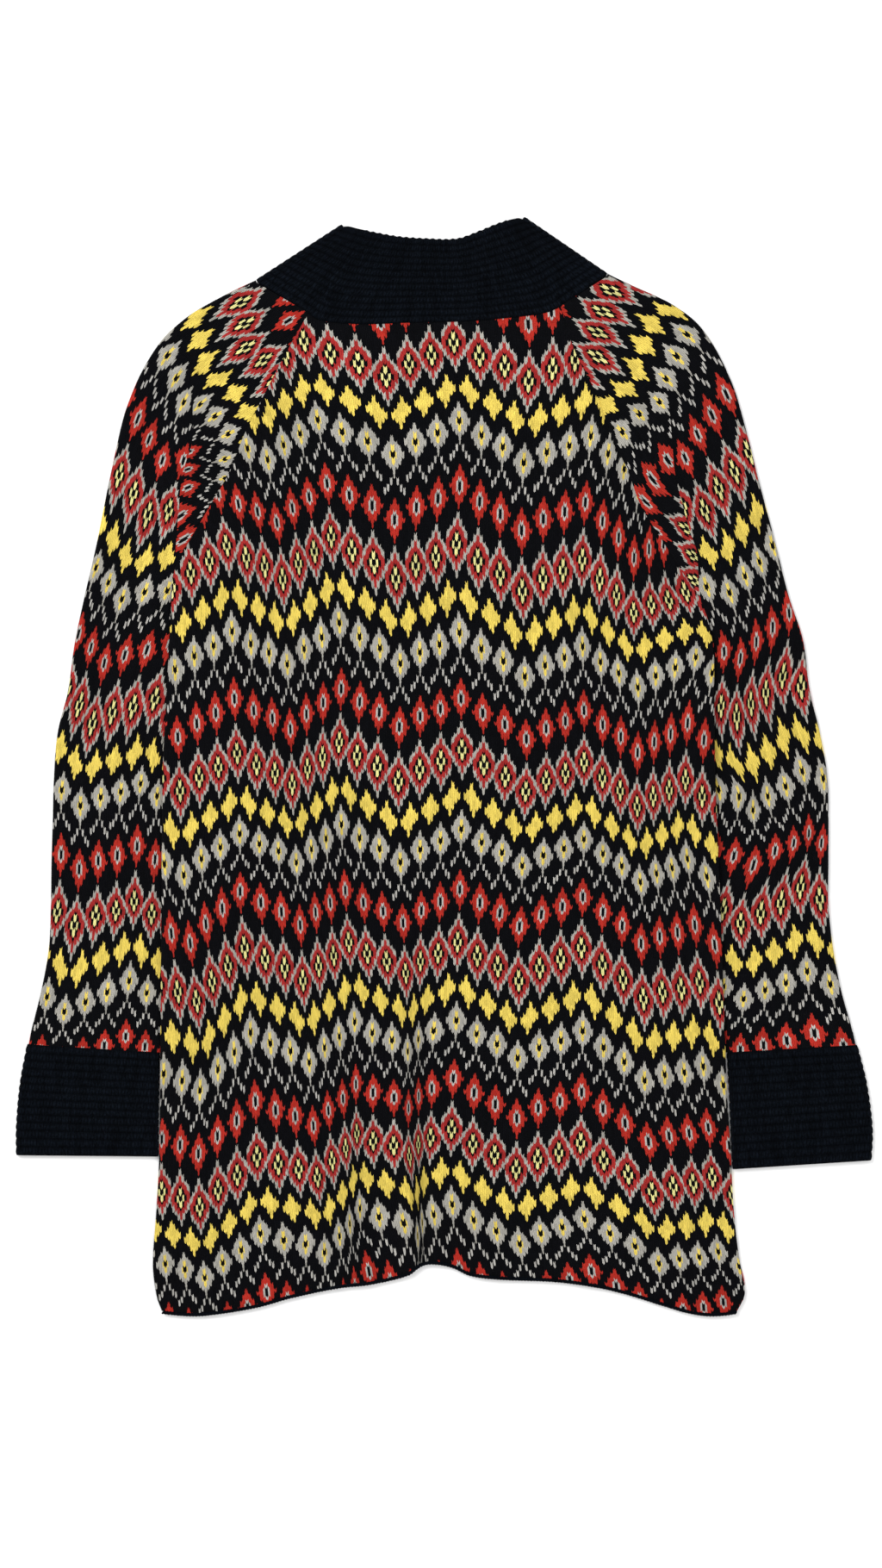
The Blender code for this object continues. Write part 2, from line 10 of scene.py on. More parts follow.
import bpy
import numpy as np
from bpy.props import FloatProperty, FloatVectorProperty, IntProperty, PointerProperty
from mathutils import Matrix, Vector


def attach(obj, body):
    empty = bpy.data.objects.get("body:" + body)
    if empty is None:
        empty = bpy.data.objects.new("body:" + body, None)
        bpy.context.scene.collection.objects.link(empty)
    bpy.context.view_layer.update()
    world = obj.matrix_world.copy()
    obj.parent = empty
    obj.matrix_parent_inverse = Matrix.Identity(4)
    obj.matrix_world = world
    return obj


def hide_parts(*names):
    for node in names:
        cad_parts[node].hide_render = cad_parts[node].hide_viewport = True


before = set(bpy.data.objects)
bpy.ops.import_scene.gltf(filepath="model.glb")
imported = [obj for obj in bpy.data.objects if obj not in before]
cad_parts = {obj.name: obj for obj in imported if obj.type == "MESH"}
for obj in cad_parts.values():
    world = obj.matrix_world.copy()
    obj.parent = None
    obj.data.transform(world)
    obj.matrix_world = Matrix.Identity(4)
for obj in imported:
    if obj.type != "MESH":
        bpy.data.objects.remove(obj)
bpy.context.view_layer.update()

bl_info = {
    "name": "Shawl Collar Cardigan",
    "version": (1, 0, 0),
    "blender": (4, 5, 0),
    "location": "3D View > Sidebar > Cardigan",
    "description": "Builds a laid-out cardigan with a zigzag lozenge knit, ribbed collar and ribbed cuffs",
    "category": "Add Mesh",
}

MM = 0.001
SIDES = (-1, 1)

CLOTH = 2.4  # thickness of the knitted cloth
GAP = 0.3  # between two layers, and between pieces at a seam
UPPER = CLOTH + GAP  # height of the upper layer's underside
AXIS = CLOTH + GAP / 2  # height of the line that a fold turns round
OUTSIDE = CLOTH + GAP / 2  # radius of the outer side of a fold
INSIDE = GAP / 2  # radius of the inner side of a fold
SEAM = 0.45  # sideways room at a seam that slants
OVERLAP = 0.7  # dressed pieces reach this far under one another at a seam, so that no light comes through

STITCH = 2.4  # width of a knitted stitch
COURSE = 2.57  # height of a row of stitches
MOTIF = 7  # stitches across a lozenge
REPEAT = 60  # rows from one course of eyes to the next
WAVE = 3  # lozenges from the zigzag's peak to its valley
DROP = 3.5  # rows that each lozenge lies below the one before it

HEM_LINE = -432.0  # height at which the body's rows start
HEM_EDGE = 4.0  # height of the narrow edging
PANEL_RISE = HEM_EDGE + GAP - 1.5 * OVERLAP  # from the hem to the lower edge of a panel's cloth
FRONT_RISE = 5.0  # the fronts end this much higher than the back
HEM_BLEND = 70.0  # the hem's curve fades out over this height
NECK_BLEND = 90.0  # and the neckline's over this one

BAND_SEAM = (-80.0, 61.0)  # x of the front bands' seams below the neck opening
BAND_FOOT = -420.0  # height at which the bands' rows start
BAND_BLEND = 40.0  # the hem's curve fades out of them over this height
UNDERARM = (157.0, 130.0)
NECK = (358.0, 363.5)  # heights of the back panel's neck corners
FRONT_NECK = 321.0  # height where the front raglan seams meet the collar
FRONT_TOP = 336  # height of the fronts' row 0

SLEEVE_ROOM = 1.0  # between the body's side and a sleeve that lies beside it
SLEEVE_UNDER = (3.2, 2.0)  # overlaps that a sleeve reaches under the body: below the underarm, and above it
LIFT = 5.7  # the body's sides lie this much higher, on the sleeves
LIFT_RUN = 24.0  # it rises over this length below the underarm
LIFT_END = -265.0  # and is down again here, over LIFT_FADE
LIFT_FADE = 50.0
LIFT_MARGIN = 20.0  # it stays up this far past the sleeve's edge
LIFT_RAMP = 38.0  # and comes down over this width

SAG = 2.1  # the upper layer sinks this far into the neck opening
SAG_MARGIN = 20.0
SAG_RAMP = 24.0
OPENING = (150.0, 344.0)  # heights between which the bands' free edges bound the neck opening
OPENING_SPREAD = 0.24  # above them it widens by this much for each millimetre of height

# How the panels' cut edges turn down: over this length and by this much, at the sides, then at hem and neck.
BACK_TURN = ((2.6, 1.5), (1.8, 0.8))
FRONT_TURN = ((2.2, 1.0), (1.8, 0.6))
SLEEVE_TURN = (2.4, 1.3)
SOFT_EDGE = 14.0  # a piece's soft folds fade out over this length at its edges
SLEEVE_EDGE = 4.0  # on a sleeve they start this far in from the body
SLEEVE_FADE = 0.25  # and fade out over this share of its width before the outer fold
UNDER_RELIEF = 0.6  # share of the back's soft folds that its underside follows
SLEEVE_UNEVEN = 0.7  # a sleeve is this much as uneven as the back
SHARP = math.radians(55)  # edges that turn by more are shaded sharp

# Closer mesh columns at an edge: their shares of the stretch, and that stretch's share of the piece.
CLOSER = (0, 0.12, 0.3, 0.6)
BACK_STRETCH = 0.012
FRONT_STRETCH = 0.03
SLEEVE_STRETCH = 0.06
SLEEVE_CLOSER = (0, 0.008, 0.02, 0.04)  # shares of the sleeve, at its seam only

# A sleeve's cloth is turned at its crease: a groove, then a lap towards the body.
LAP = 1.5  # height of the lap
LAP_START = 0.8  # it starts this far before the crease
LAP_RISE = 3.0
LAP_WIDTH = 16.0
GROOVE = (0.5, 1.6, 2.2)  # its depth, how far before the crease it lies, and its half width
LAP_FOOT = (5.0, 25.0)  # the lap starts this far above the crease's foot, over this length
LAP_TOP = (265.0, 35.0)  # and ends at this height, over this length
TURNED_ROW = 30  # a flap takes its sleeve's courses above this row, and has its own below
NO_FLAP = -50.0  # stands for cloth that lies well before the crease

# Cross-section of a hem edging.
EDGE_CENTRE = 1.7  # from the upper side of the edging to the middle of its roll
EDGE_RADIUS = 1.35
EDGE_ROOM = 1.1 * EDGE_RADIUS  # from the roll's middle to the cloth below it, and to its end
EDGE_WIDTH = 1.5  # how much wider than high the roll is
EDGE_CORE = 0.62  # radius of its core, as a share of the stitches' round it
EDGE_SLANT = 0.7

RIB_FLOOR = 0.25  # share of a rib's height that stays where the cloth lies on the floor
CUFF_FLATTER = 0.3  # ribs are this much lower round a fold
COLLAR_FLATTER = 0.55
TOP_BUMP = 0.4  # height of the stitches along the collar's free edge
TOP_BUMP_LENGTH = 5.2
COLLAR_MIDDLE = (-62, 50)  # between these the collar's lines run straight up from the back neck
SHOULDER = ((-149, 384), (129, 389))  # lower and upper end of the collar's folds
PEAK = ((-81, 428), (63, 434))
SHOULDER_ROOM = 0.6  # between the collar's fold and the sleeve's
TURN_EASE = 0.1  # share of a soft step in how the free edge runs up to the fold
TOP_RUN = 3  # past the fold, the free edge meets the collar's top within a third of the way
FLAT = (0, 1)  # stands for the normal where cloth lies flat, and no radius is added along it

# Height, left edge and right edge of the body: side seams, raglan seams, then the neck corners.
BODY_EDGES = (
    (-432, -223, 231), (-421, -227, 237), (-394, -230, 233), (-346, -227, 228), (-306, -225, 226),
    (-238, -224, 222), (-122, -223, 218), (-6, -222, 213.5), (56, -219, 212.5), (96, -217, 211.5),
    (130, -215, 203), (157, -213, 186), (176, -203, 174), (205, -186, 156), (231, -171, 146),
    (263, -158, 132), (293, -143, 121), (320, -129, 107), (345, -115, 97), (358, -108, 94), (364, -105, 92),
)
# The hem of the back, left to right.
HEM = (
    (-232, -430), (-223, -432), (-198, -434), (-176, -432), (-147, -427), (-122, -420), (-84, -412),
    (-58, -409), (-29, -402), (-19, -395), (-9, -393), (7, -396), (20, -402), (43, -405), (87, -407),
    (118, -411), (144, -417), (173, -426), (194, -432), (211, -434), (231, -432), (238, -429),
)
# The neckline between the corners.
NECKLINE = (
    (-108, 358), (-98, 352.5), (-66, 349.5), (-22, 351), (21, 352), (56, 355), (80, 358.5), (92.5, 363.5),
)
# Where each sleeve's courses end: height at the raglan or underarm seam, then the outer fold's x and y.
SLEEVE = (
    (
        (-225, -328, -218.5), (-212, -326, -208), (-177, -318, -176), (-142, -312, -142),
        (-108, -310.5, -108), (-75, -310, -74), (-42, -309, -40), (-8, -308, -6), (22, -305, 28),
        (52, -297, 60), (84, -292, 96), (112, -285, 130), (140, -274, 178), (157, -264, 228),
        (187, -251, 283), (242, -228, 330), (285, -203, 355), (315, -174, 372), (358, -149, 384),
    ),
    (
        (-225, 324.5, -219), (-213, 322, -208), (-177, 313, -176), (-142, 306.5, -142), (-108, 303, -108),
        (-75, 303, -74), (-42, 303, -40), (-10, 302, -6), (18, 296, 28), (46, 288, 62), (70, 283, 100),
        (98, 271, 137), (116, 260, 181), (130, 249, 222), (160, 239, 262), (205, 226, 305), (263, 203, 346),
        (296, 178, 366), (316, 150, 379), (363.5, 129, 389),
    ),
)
# How far a sleeve's underarm edge reaches under the body, by height.
TUCK = (
    (-240, 0), (-190, 0), (-177, 6), (-142, 21), (-108, 34), (-74, 43), (-40, 50), (-6, 52), (28, 47),
    (60, 30), (84, 10), (100, 0), (160, 0),
)
# Front raglan seams by height: left x, right x.
FRONT_RAGLAN = (
    (130, -224, 203), (157, -213, 190), (185, -198, 177), (232, -174, 154), (266, -156, 137),
    (296, -142, 123), (322, -129.5, 110.5),
)
# Front bands: height of the seam, its x, then the free edge's x and y.
BAND = (
    (
        (-420, -80, -12.5, -400), (-150, -80, -11.5, -150), (100, -80, -11, 100), (148, -80, -11, 158),
        (184, -84, -16, 203), (230, -97, -30, 253), (275, -112, -45, 298), (321, -126.5, -60, 344),
    ),
    (
        (-420, 61, -6.5, -400), (-150, 61, -7.5, -150), (100, 61, -8, 100), (139, 61, -8, 150),
        (184, 64, -3, 203), (230, 78, 11, 253), (275, 93, 26, 298), (321, 107.5, 41, 344),
    ),
)
# The collar's outer edge across the back neck, left to right.
COLLAR_TOP = (
    (-81, 428), (-66, 424), (-39, 419), (-14, 417), (10, 417), (28, 423), (46, 430), (63, 434),
)
# Cuffs: share of the way down, outer fold's x and y, inner fold's x and y.
CUFF = (
    (
        (0, -330, -219, -225.4, -225.6), (0.35, -335.5, -249, -225.8, -254),
        (0.75, -338.5, -283, -226.2, -286), (1, -338.5, -306, -226.2, -307),
    ),
    (
        (0, 326.5, -219.6, 223.6, -225.7), (0.35, 334, -250, 225.2, -257), (0.75, 338.5, -286, 226.8, -294),
        (1, 337.5, -310, 228, -317),
    ),
)

# Soft folds of the back: start x and y, end x and y, half width, height.
BACK_FOLDS = (
    (-27, -420, -24, -190, 7, 2.9), (-6, -420, -12, -215, 6, 2.2), (-62, -430, -67, -270, 8, 2.2),
    (-84, -430, -82, -300, 8, 1.3), (40, -430, 30, -330, 14, 1.2), (143, 205, 147, -80, 12, 2.0),
    (163, 150, 160, -20, 10, 1.0), (-104, 20, -101, -90, 12, 1.2), (-180, -440, -176, -330, 14, 1.6),
    (204, -440, 192, -320, 14, 1.7), (110, -430, 116, -360, 12, 1.2),
)
# The sleeves' creases lie where each arm turns down at the underarm, and across the forearm.
SLEEVE_FOLDS = (
    (
        (-206, 300, -219, 190, 9, 2.4), (-188, 285, -200, 215, 7, 1.6), (-222, 180, -228, 90, 9, 1.8),
        (-300, -104, -240, -108, 8, 1.3), (-296, 10, -250, 4, 9, 1.2),
    ),
    (
        (188, 300, 204, 190, 9, 2.4), (168, 285, 180, 225, 7, 1.6), (212, 185, 224, 100, 9, 2.0),
        (292, -104, 238, -110, 8, 1.3), (290, 60, 240, 50, 9, 1.2),
    ),
)
# Extra soft folds that only the dressed cloth has: start x and y, end x and y, half width, height.
BACK_RIPPLES = (
    (-31, -430, -30, -150, 5, 2.4), (-18, -430, -20, -170, 4, -1.7), (-70, -430, -73, -230, 5, 1.5),
    (-60, -430, -62, -260, 4, -0.8), (-120, 200, -150, 90, 9, 0.9), (-60, 330, -50, 240, 14, 0.7),
    (100, 120, 118, -40, 14, 0.7), (-150, -100, -60, -118, 12, 0.5), (40, -180, 150, -196, 14, 0.5),
    (-140, 60, -128, -60, 10, 0.6),
)
# Hollows and swells of worn cloth, each a wave: its turn for each millimetre of x and y, start and height.
UNEVEN = (
    (0.031, 0.012, 0.3, 0.32), (-0.014, 0.027, 1.7, 0.30), (0.052, -0.041, 4.1, 0.16),
    (0.02, 0.071, 2.2, 0.14),
)
# Cloth hidden in the folds by the hem's arch: height, then x of the fold, half its width and its columns.
MAIN_PLEAT = (
    (-432, -19, 4, 11), (-350, -20, 6, 10.5), (-290, -23.5, 13, 9), (-215, -24, 13, 8), (-160, -24, 14, 3),
    (-110, -24, 14, 0),
)
SIDE_PLEAT = (
    (-432, -74, 9, 4), (-363, -73, 9, 4), (-290, -72, 9, 3), (-200, -74, 10, 0),
)

# Where the zigzag's peaks and valleys run down the back: height, then x of each line, left to right.
WAVE_LINES = (
    (334, None, None, None, -111, -48, 7, 67, 120, None, None),
    (266, None, None, -143, -99, -42, 12, 64, 116, None, None),
    (218, None, -179, -136, -92, -39, 12, 61, 112, 153, None),
    (170, None, -171, -129, -89, -39, 9, 61, 109, 150, 184),
    (99, -213, -167, -125, -82, -35, 12, 63, 109, 149, 199),
    (45, -211, -165, -122, -82, -35, 13, 64, 110, 153, 192),
    (4, -209, -163, -120, -84, -36, 14, 65, 110, 152, 190),
    (-61, -207, -161, -117, -81, -35, 13, 62, 110, 153, 190),
    (-108, -203, -161, -114, -78, -33, 12, 61, 109, 156, 196),
    (-149, -199, -157, -112, -75, -31, 10, 58, 108, 155, 199),
    (-217, -192, -153, -107, -71, -29, 9, 58, 109, 158, 203),
    (-265, -193, -149, -104, -70, -28, 6, 57, 108, 158, 206),
    (-306, -194, -148, -101, -69, -27.5, 5, 57, 107, 162, 210),
    (-363, -192, -146, -94, -67, -21, 7, 58, 111, 167, 214),
)
MIDDLE_LINE = 5  # the peak line that counts as column 0
# Heights of the courses on those lines: line, then (row without the zigzag, height).
COURSES = (
    (5, ((0.5, 336), (24.5, 274), (44, 223), (60.5, 177), (84.5, 107), (104, 55), (120.5, 15), (144.5, -48),
        (164, -95), (180.5, -137), (204.5, -199), (224, -244), (240.5, -285), (264.5, -344), (284, -395))),
    (3, ((0.5, 337), (24.5, 275), (44, 225), (60.5, 183), (84.5, 115), (104, 63), (120.5, 21), (144.5, -44),
        (164, -96), (180.5, -137), (204.5, -200), (224, -249), (240.5, -288), (264.5, -347))),
    (4, ((155.5, -74), (191.5, -161), (215.5, -223), (235, -267), (251.5, -305), (275.5, -368))),
    (1, ((44, 217), (60.5, 176), (84.5, 108), (104, 55), (120.5, 12), (144.5, -52), (164, -96),
        (180.5, -141), (204.5, -208), (224, -262), (240.5, -306), (264.5, -367))),
    (7, ((0.5, 332), (24.5, 262), (44, 210), (60.5, 165), (84.5, 96), (104, 46), (120.5, 5), (144.5, -56),
        (164, -101), (180.5, -141), (204.5, -207), (224, -255), (240.5, -295), (264.5, -356), (284, -395))),
    (6, ((251.5, -316), (275.5, -375))),
    (8, ((191.5, -181), (215.5, -246), (235, -294), (251.5, -334), (275.5, -390), (295, -430))),
    (9, ((60.5, 138), (84.5, 88), (104, 36), (120.5, -9), (144.5, -71), (164, -123), (180.5, -168),
        (204.5, -235), (224, -283), (240.5, -322), (264.5, -381), (284, -419))),
    (0, ((95.5, 78), (114.5, 26), (131.5, -17), (155.5, -84), (174.5, -136), (191.5, -183), (215.5, -254),
        (234.5, -302), (251.5, -346), (275.5, -402))),
)
# Lozenges on the sleeves: row, number of the outermost one, then x and y of each one inwards.
SLEEVE_MOTIFS = (
    (
        (0.5, -5, ((-159, 367), (-157, 350), (-154, 332), (-142, 322))),
        (13.5, -5.5, ((-196, 354), (-192, 338), (-189, 319), (-178, 306), (-164, 295), (-156, 279))),
        (24.5, -5, ((-218, 326), (-211, 307), (-204, 288), (-193, 288))),
        (44, -5, ((-241, 276), (-233, 259), (-222, 243), (-205, 243))),
        (60.5, -5, ((-256, 232), (-245, 217), (-233, 202), (-217, 204))),
        (73.5, -4.5, ((-261, 178), (-252, 167), (-236, 164), (-219, 166))),
        (84.5, -5, ((-274, 159), (-265, 146), (-254, 134), (-236, 139), (-218, 140))),
        (104, -5, ((-288, 106), (-279, 95), (-268, 84), (-252, 89), (-234, 94))),
        (120.5, -5, ((-296, 64), (-288, 49), (-277, 37), (-262, 45), (-245, 49), (-228, 55))),
        (133.5, -4.5, ((-303, 16), (-291, 4), (-276, 2), (-261, 6), (-244, 11), (-230, 10))),
        (144.5, -4, ((-302, -17), (-287, -29), (-271, -23), (-255, -18), (-239, -13), (-227, -21))),
        (164, -4, ((-302, -68), (-288, -78), (-273, -73), (-258, -68), (-242, -62), (-228, -71))),
        (180.5, -4, ((-305, -114), (-292, -122), (-275, -116), (-258, -112), (-245, -106), (-231, -114))),
        (204.5, -4, ((-313, -180), (-300, -192), (-283, -185), (-266, -176), (-248, -168), (-235, -177))),
        (224, -1, ((-268, -218), (-251, -212), (-236, -219))),
    ),
    (
        (0.5, 0, ((131, 376), (122, 360), (120, 343), (119, 325))),
        (13.5, 0.5, ((177, 360), (163, 350), (156, 334), (151, 314), (141, 298), (128, 285))),
        (24.5, 0, ((191, 342), (182, 325), (174, 306), (169, 289))),
        (44, 0, ((222, 295), (210, 279), (199, 263), (189, 245))),
        (60.5, 0, ((240, 249), (228, 235), (216, 221), (204, 204), (188, 206))),
        (73.5, -0.5, ((246, 200), (234, 188), (224, 173), (208, 170))),
        (84.5, 0, ((258, 175), (248, 164), (237, 151), (224, 139), (206, 143))),
        (104, 0, ((272, 122), (259, 113), (246, 99), (234, 89), (221, 91))),
        (120.5, 1, ((281, 66), (266, 71), (253, 61), (241, 48), (231, 47), (218, 48))),
        (133.5, 1.5, ((297, 22), (281, 28), (267, 22), (256, 13), (242, 4), (226, 6), (215, 11))),
        (144.5, 1, ((299, -7), (282, -3), (269, -14), (253.5, -22), (242, -34), (235, -21), (216, -17))),
        (164, 1, ((296, -58), (288, -53), (277, -58), (261, -64), (245, -75), (228, -69))),
        (180.5, 1, ((296, -102), (280, -94), (265, -106), (249, -115), (233, -121))),
        (193.5, 1.5, ((308, -144), (293, -136), (276, -136), (260, -146), (244, -151), (229, -153))),
        (204.5, 1, ((304, -170), (286, -160), (269, -169), (253, -175), (236, -182))),
        (224, 1, ((315, -219), (292, -209), (269, -214), (252, -219), (233, -221))),
    ),
)
# Lozenges on the flap between each sleeve's crease and the raglan seam, where the cloth is turned.
FLAP_MOTIFS = (
    (
        (24.5, -1, ((-180, 278), (-170, 263), (-173, 242))),
        (44, 2, ((-201, 222), (-206, 199), (-206, 179))),
    ),
    (
        (24.5, -4, ((154, 279), (139, 266), (131, 247))),
        (44, -4, ((175, 242), (161, 230), (159, 208), (166, 187), (171, 166))),
        (60.5, -8, ((196, 148),)),
    ),
)
# Where the sleeves are creased beside the seam: height and x.
CREASE = (
    (
        (172, -212), (202, -209.5), (231, -206.5), (256, -199), (288, -198), (330, -190),
    ),
    (
        (102, 211), (135, 201.5), (170, 199), (183, 194.5), (225, 183), (239, 181), (281, 177.5),
        (330, 172),
    ),
)


def smooth(share):
    """0 below 0, 1 above 1, and a soft step between."""
    share = np.clip(share, 0.0, 1.0)
    return share * share * (3 - 2 * share)


def between(a, b, share):
    return a + (b - a) * share


def through(rows, at):
    """The columns after the first, on smooth curves through the rows, where the first column is at."""
    rows = np.asarray(rows, float)
    places, last = rows[:, 0], len(rows) - 1
    at = np.clip(np.asarray(at, float), places[0], places[-1])
    i = np.clip(np.searchsorted(places, at, side="right") - 1, 0, last - 1)
    high, low = np.minimum(np.arange(last + 1) + 1, last), np.maximum(np.arange(last + 1) - 1, 0)
    slopes = (rows[high] - rows[low]) / (places[high] - places[low])[:, None]
    span = places[i + 1] - places[i]
    t = (at - places[i]) / span
    return [
        rows[i, k] * (1 + 2 * t) * (1 - t) ** 2
        + rows[i + 1, k] * t * t * (3 - 2 * t)
        + slopes[i, k] * span * t * (1 - t) ** 2
        - slopes[i + 1, k] * span * t * t * (1 - t)
        for k in range(1, rows.shape[1])
    ]


def across(start, end):
    """The unit vector from start to end."""
    start, end = np.asarray(start, float), np.asarray(end, float)
    return (end - start) / np.linalg.norm(end - start, axis=-1, keepdims=True)


def folds(table, x, y, ends=0.25):
    """Height that soft folds add at each point; they fade out over a share of their length at both ends."""
    total = np.zeros_like(x)
    for x0, y0, x1, y1, half_width, height in table:
        along_x, along_y = across((x0, y0), (x1, y1))
        along = ((x - x0) * along_x + (y - y0) * along_y) / math.hypot(x1 - x0, y1 - y0)
        aside = (x - x0) * along_y - (y - y0) * along_x
        fade = smooth(along / ends) * smooth((1 - along) / ends)
        total += height * fade * np.exp(-((aside / half_width) ** 2))
    return total


def uneven(x, y):
    """The slight hollows and swells of cloth that has been worn."""
    return sum(size * np.sin(a * x + b * y + c) for a, b, c, size in UNEVEN)


def lift(x, y):
    """How much higher the body lies where a sleeve is tucked under its side."""
    left, right = through(BODY_EDGES, y)
    reach = through(TUCK, y)[0] + LIFT_MARGIN
    down = smooth((y - LIFT_END) / LIFT_FADE)
    total = np.zeros_like(x)
    for inward, underarm in zip((x - left, right - x), UNDERARM):
        up = smooth((underarm - y) / LIFT_RUN)
        total += LIFT * up * down * (1 - smooth((inward - reach) / LIFT_RAMP))
    return total


def sag(x, y):
    """How far the upper layer sinks between the front bands, inside the neck opening."""
    bottom, top = OPENING
    seam = FRONT_NECK - (top - np.clip(y, bottom, top))
    above = np.maximum(y - top, 0) * OPENING_SPREAD
    left, right = through(BAND[0], seam)[1] - above, through(BAND[1], seam)[1] + above
    return SAG * smooth((x - left - SAG_MARGIN) / SAG_RAMP) * smooth((right - x - SAG_MARGIN) / SAG_RAMP)


def back_height(x, y):
    """Height of the back panel's underside."""
    return UPPER + lift(x, y) + folds(BACK_FOLDS, x, y) - sag(x, y)


def on(rows, x):
    """Height of an outline at x."""
    return through(rows, x)[0]


def roll(distance, reach, depth):
    """How far a cut edge turns down, that distance in from it."""
    share = np.clip(1 - distance / reach, 0, 1)
    return depth * (1 - np.sqrt(1 - share * share))


def spread(places, values, x, y, ease=0.02):
    """A thin plate laid through the values at places, read at each point; ease lets it pass beside them."""
    places, values = np.asarray(places, float) / 100, np.asarray(values, float)
    count = len(places)

    def kernel(dx, dy):
        r2 = dx * dx + dy * dy
        return 0.5 * r2 * np.log(r2 + 1e-9)

    px, py = places.T
    flat = np.column_stack([np.ones(count), px, py])
    system = np.zeros((count + 3, count + 3))
    system[:count, :count] = kernel(px[:, None] - px, py[:, None] - py) + ease * np.eye(count)
    system[:count, count:] = flat
    system[count:, :count] = flat.T
    weights = np.linalg.solve(system, np.concatenate([values, np.zeros(3)]))
    qx, qy = np.ravel(x) / 100, np.ravel(y) / 100
    found = kernel(qx[:, None] - px, qy[:, None] - py) @ weights[:count]
    found += weights[count] + weights[count + 1] * qx + weights[count + 2] * qy
    return found.reshape(np.shape(x))


def zigzag(motif):
    """Rows that a lozenge lies below the zigzag's peak, where motif counts lozenges from a peak line."""
    return np.floor(DROP * (WAVE - np.abs(np.mod(motif, 2 * WAVE) - WAVE)) + 0.5)


def line_x(line, y):
    """x of one of the zigzag's lines at a height."""
    rows = [(row[0], row[line + 1]) for row in WAVE_LINES[::-1] if row[line + 1] is not None]
    return np.interp(y, *zip(*rows))


def pleated(x, y):
    """Columns that the folds hide to the left of each point."""
    total = 0.0
    for table in (MAIN_PLEAT, SIDE_PLEAT):
        middle, half_width, columns = through(table, y)
        total = total + columns * smooth((x - middle) / (2 * half_width) + 0.5)
    return total


def back_stitches(x, y):
    """Column and row of the knit at each point of the back."""
    places, columns = [], []
    for height, *line in WAVE_LINES:
        for i, line_at in enumerate(line):
            if line_at is not None:
                places.append((line_at, height))
                columns.append((i - MIDDLE_LINE) * WAVE * MOTIF - pleated(line_at, height))
    column = spread(places, columns, x, y) + pleated(x, y)
    courses = [(line, *course) for line, heights in COURSES for course in heights]
    places = [(line_x(line, height), height) for line, _, height in courses]
    return np.stack([column, spread(places, [row for _, row, _ in courses], x, y)], axis=-1)


def sleeve_stitches(motifs, x, y):
    """Column and row of the knit at each point of a sleeve, from its lozenges' places."""
    places, columns, rows = [], [], []
    for row, first, course in motifs:
        step = 1 if course[0][0] < 0 else -1
        for i, place in enumerate(course):
            motif = first + step * i
            places.append(place)
            columns.append(motif * MOTIF)
            rows.append(row + (zigzag(math.floor(motif)) + zigzag(math.ceil(motif))) / 2)
    return spread(places, columns, x, y), spread(places, rows, x, y)


def shell(name, top, under, uv, closed=False, ribs=None, flap=None):
    """One closed thin shell between two grids of points, each (rows, columns, 3) in millimetres."""
    rows, columns = top.shape[:2]
    below = rows * columns
    index = np.arange(below).reshape(rows, columns)
    if closed:
        index = np.vstack([index, index[:1]])
    quads = np.stack([index[:-1, :-1], index[:-1, 1:], index[1:, 1:], index[1:, :-1]], axis=-1).reshape(-1, 4)
    rims = [index[:, 0][::-1], index[:, -1]]
    if not closed:
        rims += [index[0], index[-1][::-1]]
    faces = [quads, quads[:, ::-1] + below]
    faces += [np.stack([rim[1:], rim[:-1], rim[:-1] + below, rim[1:] + below], axis=-1) for rim in rims]
    faces = np.concatenate(faces)
    normal = np.cross(top[1:, :-1] - top[:-1, :-1], top[:-1, 1:] - top[:-1, :-1])
    if np.sum(normal * (top - under)[:-1, :-1]) > 0:
        faces = faces[:, ::-1]
    mesh = bpy.data.meshes.new(name)
    points = np.concatenate([top.reshape(-1, 3), under.reshape(-1, 3)]) * MM
    mesh.from_pydata(points.tolist(), [], faces.tolist())
    corners = np.empty(len(mesh.loops), dtype=np.int32)
    mesh.loops.foreach_get("vertex_index", corners)

    def both(values):
        """Values of the upper grid's points, and the same again for the lower one's."""
        return np.tile(values.reshape(below, -1), (2, 1)).astype(np.float32)

    uv_maps = {"Stitches": uv}
    if flap is not None:
        turned, past = flap
        uv_maps |= {"Turned Stitches": turned, "Past Crease": np.stack([past * MM, 0 * past], axis=-1)}
    for label, values in uv_maps.items():
        mesh.uv_layers.new(name=label).data.foreach_set("uv", both(values)[corners].ravel())
    mesh.uv_layers.active_index = 0
    if ribs is not None:
        height = both(ribs).ravel()
        height[below:] = 0
        mesh.attributes.new("shown", "FLOAT", "POINT").data.foreach_set("value", height)
        place = np.pad(both(uv), ((0, 0), (0, 1))).ravel()
        mesh.attributes.new("stitch", "FLOAT_VECTOR", "POINT").data.foreach_set("vector", place)
    mesh.shade_smooth()
    mesh.set_sharp_from_angle(angle=SHARP)
    return linked(name, mesh)


def linked(name, data):
    """A new object in the scene."""
    obj = bpy.data.objects.new(name, data)
    bpy.context.scene.collection.objects.link(obj)
    return obj


def pack(x, y, z):
    return np.stack(np.broadcast_arrays(x, y, z), axis=-1).astype(float)


def finish_piece(obj, node):
    """Puts a piece on the cardigan's body, and lets it stand for its solid."""
    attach(obj, "root")
    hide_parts(node)
    return obj


def patterned(name, node, top, under, uv, material="lozenge_knit", flap=None):
    """A piece of the lozenge knit between two grids of points."""
    obj = shell(name, top, under, uv, flap=flap)
    obj.data.materials.append(once(bpy.data.materials, material, lozenge_material))
    return finish_piece(obj, node)


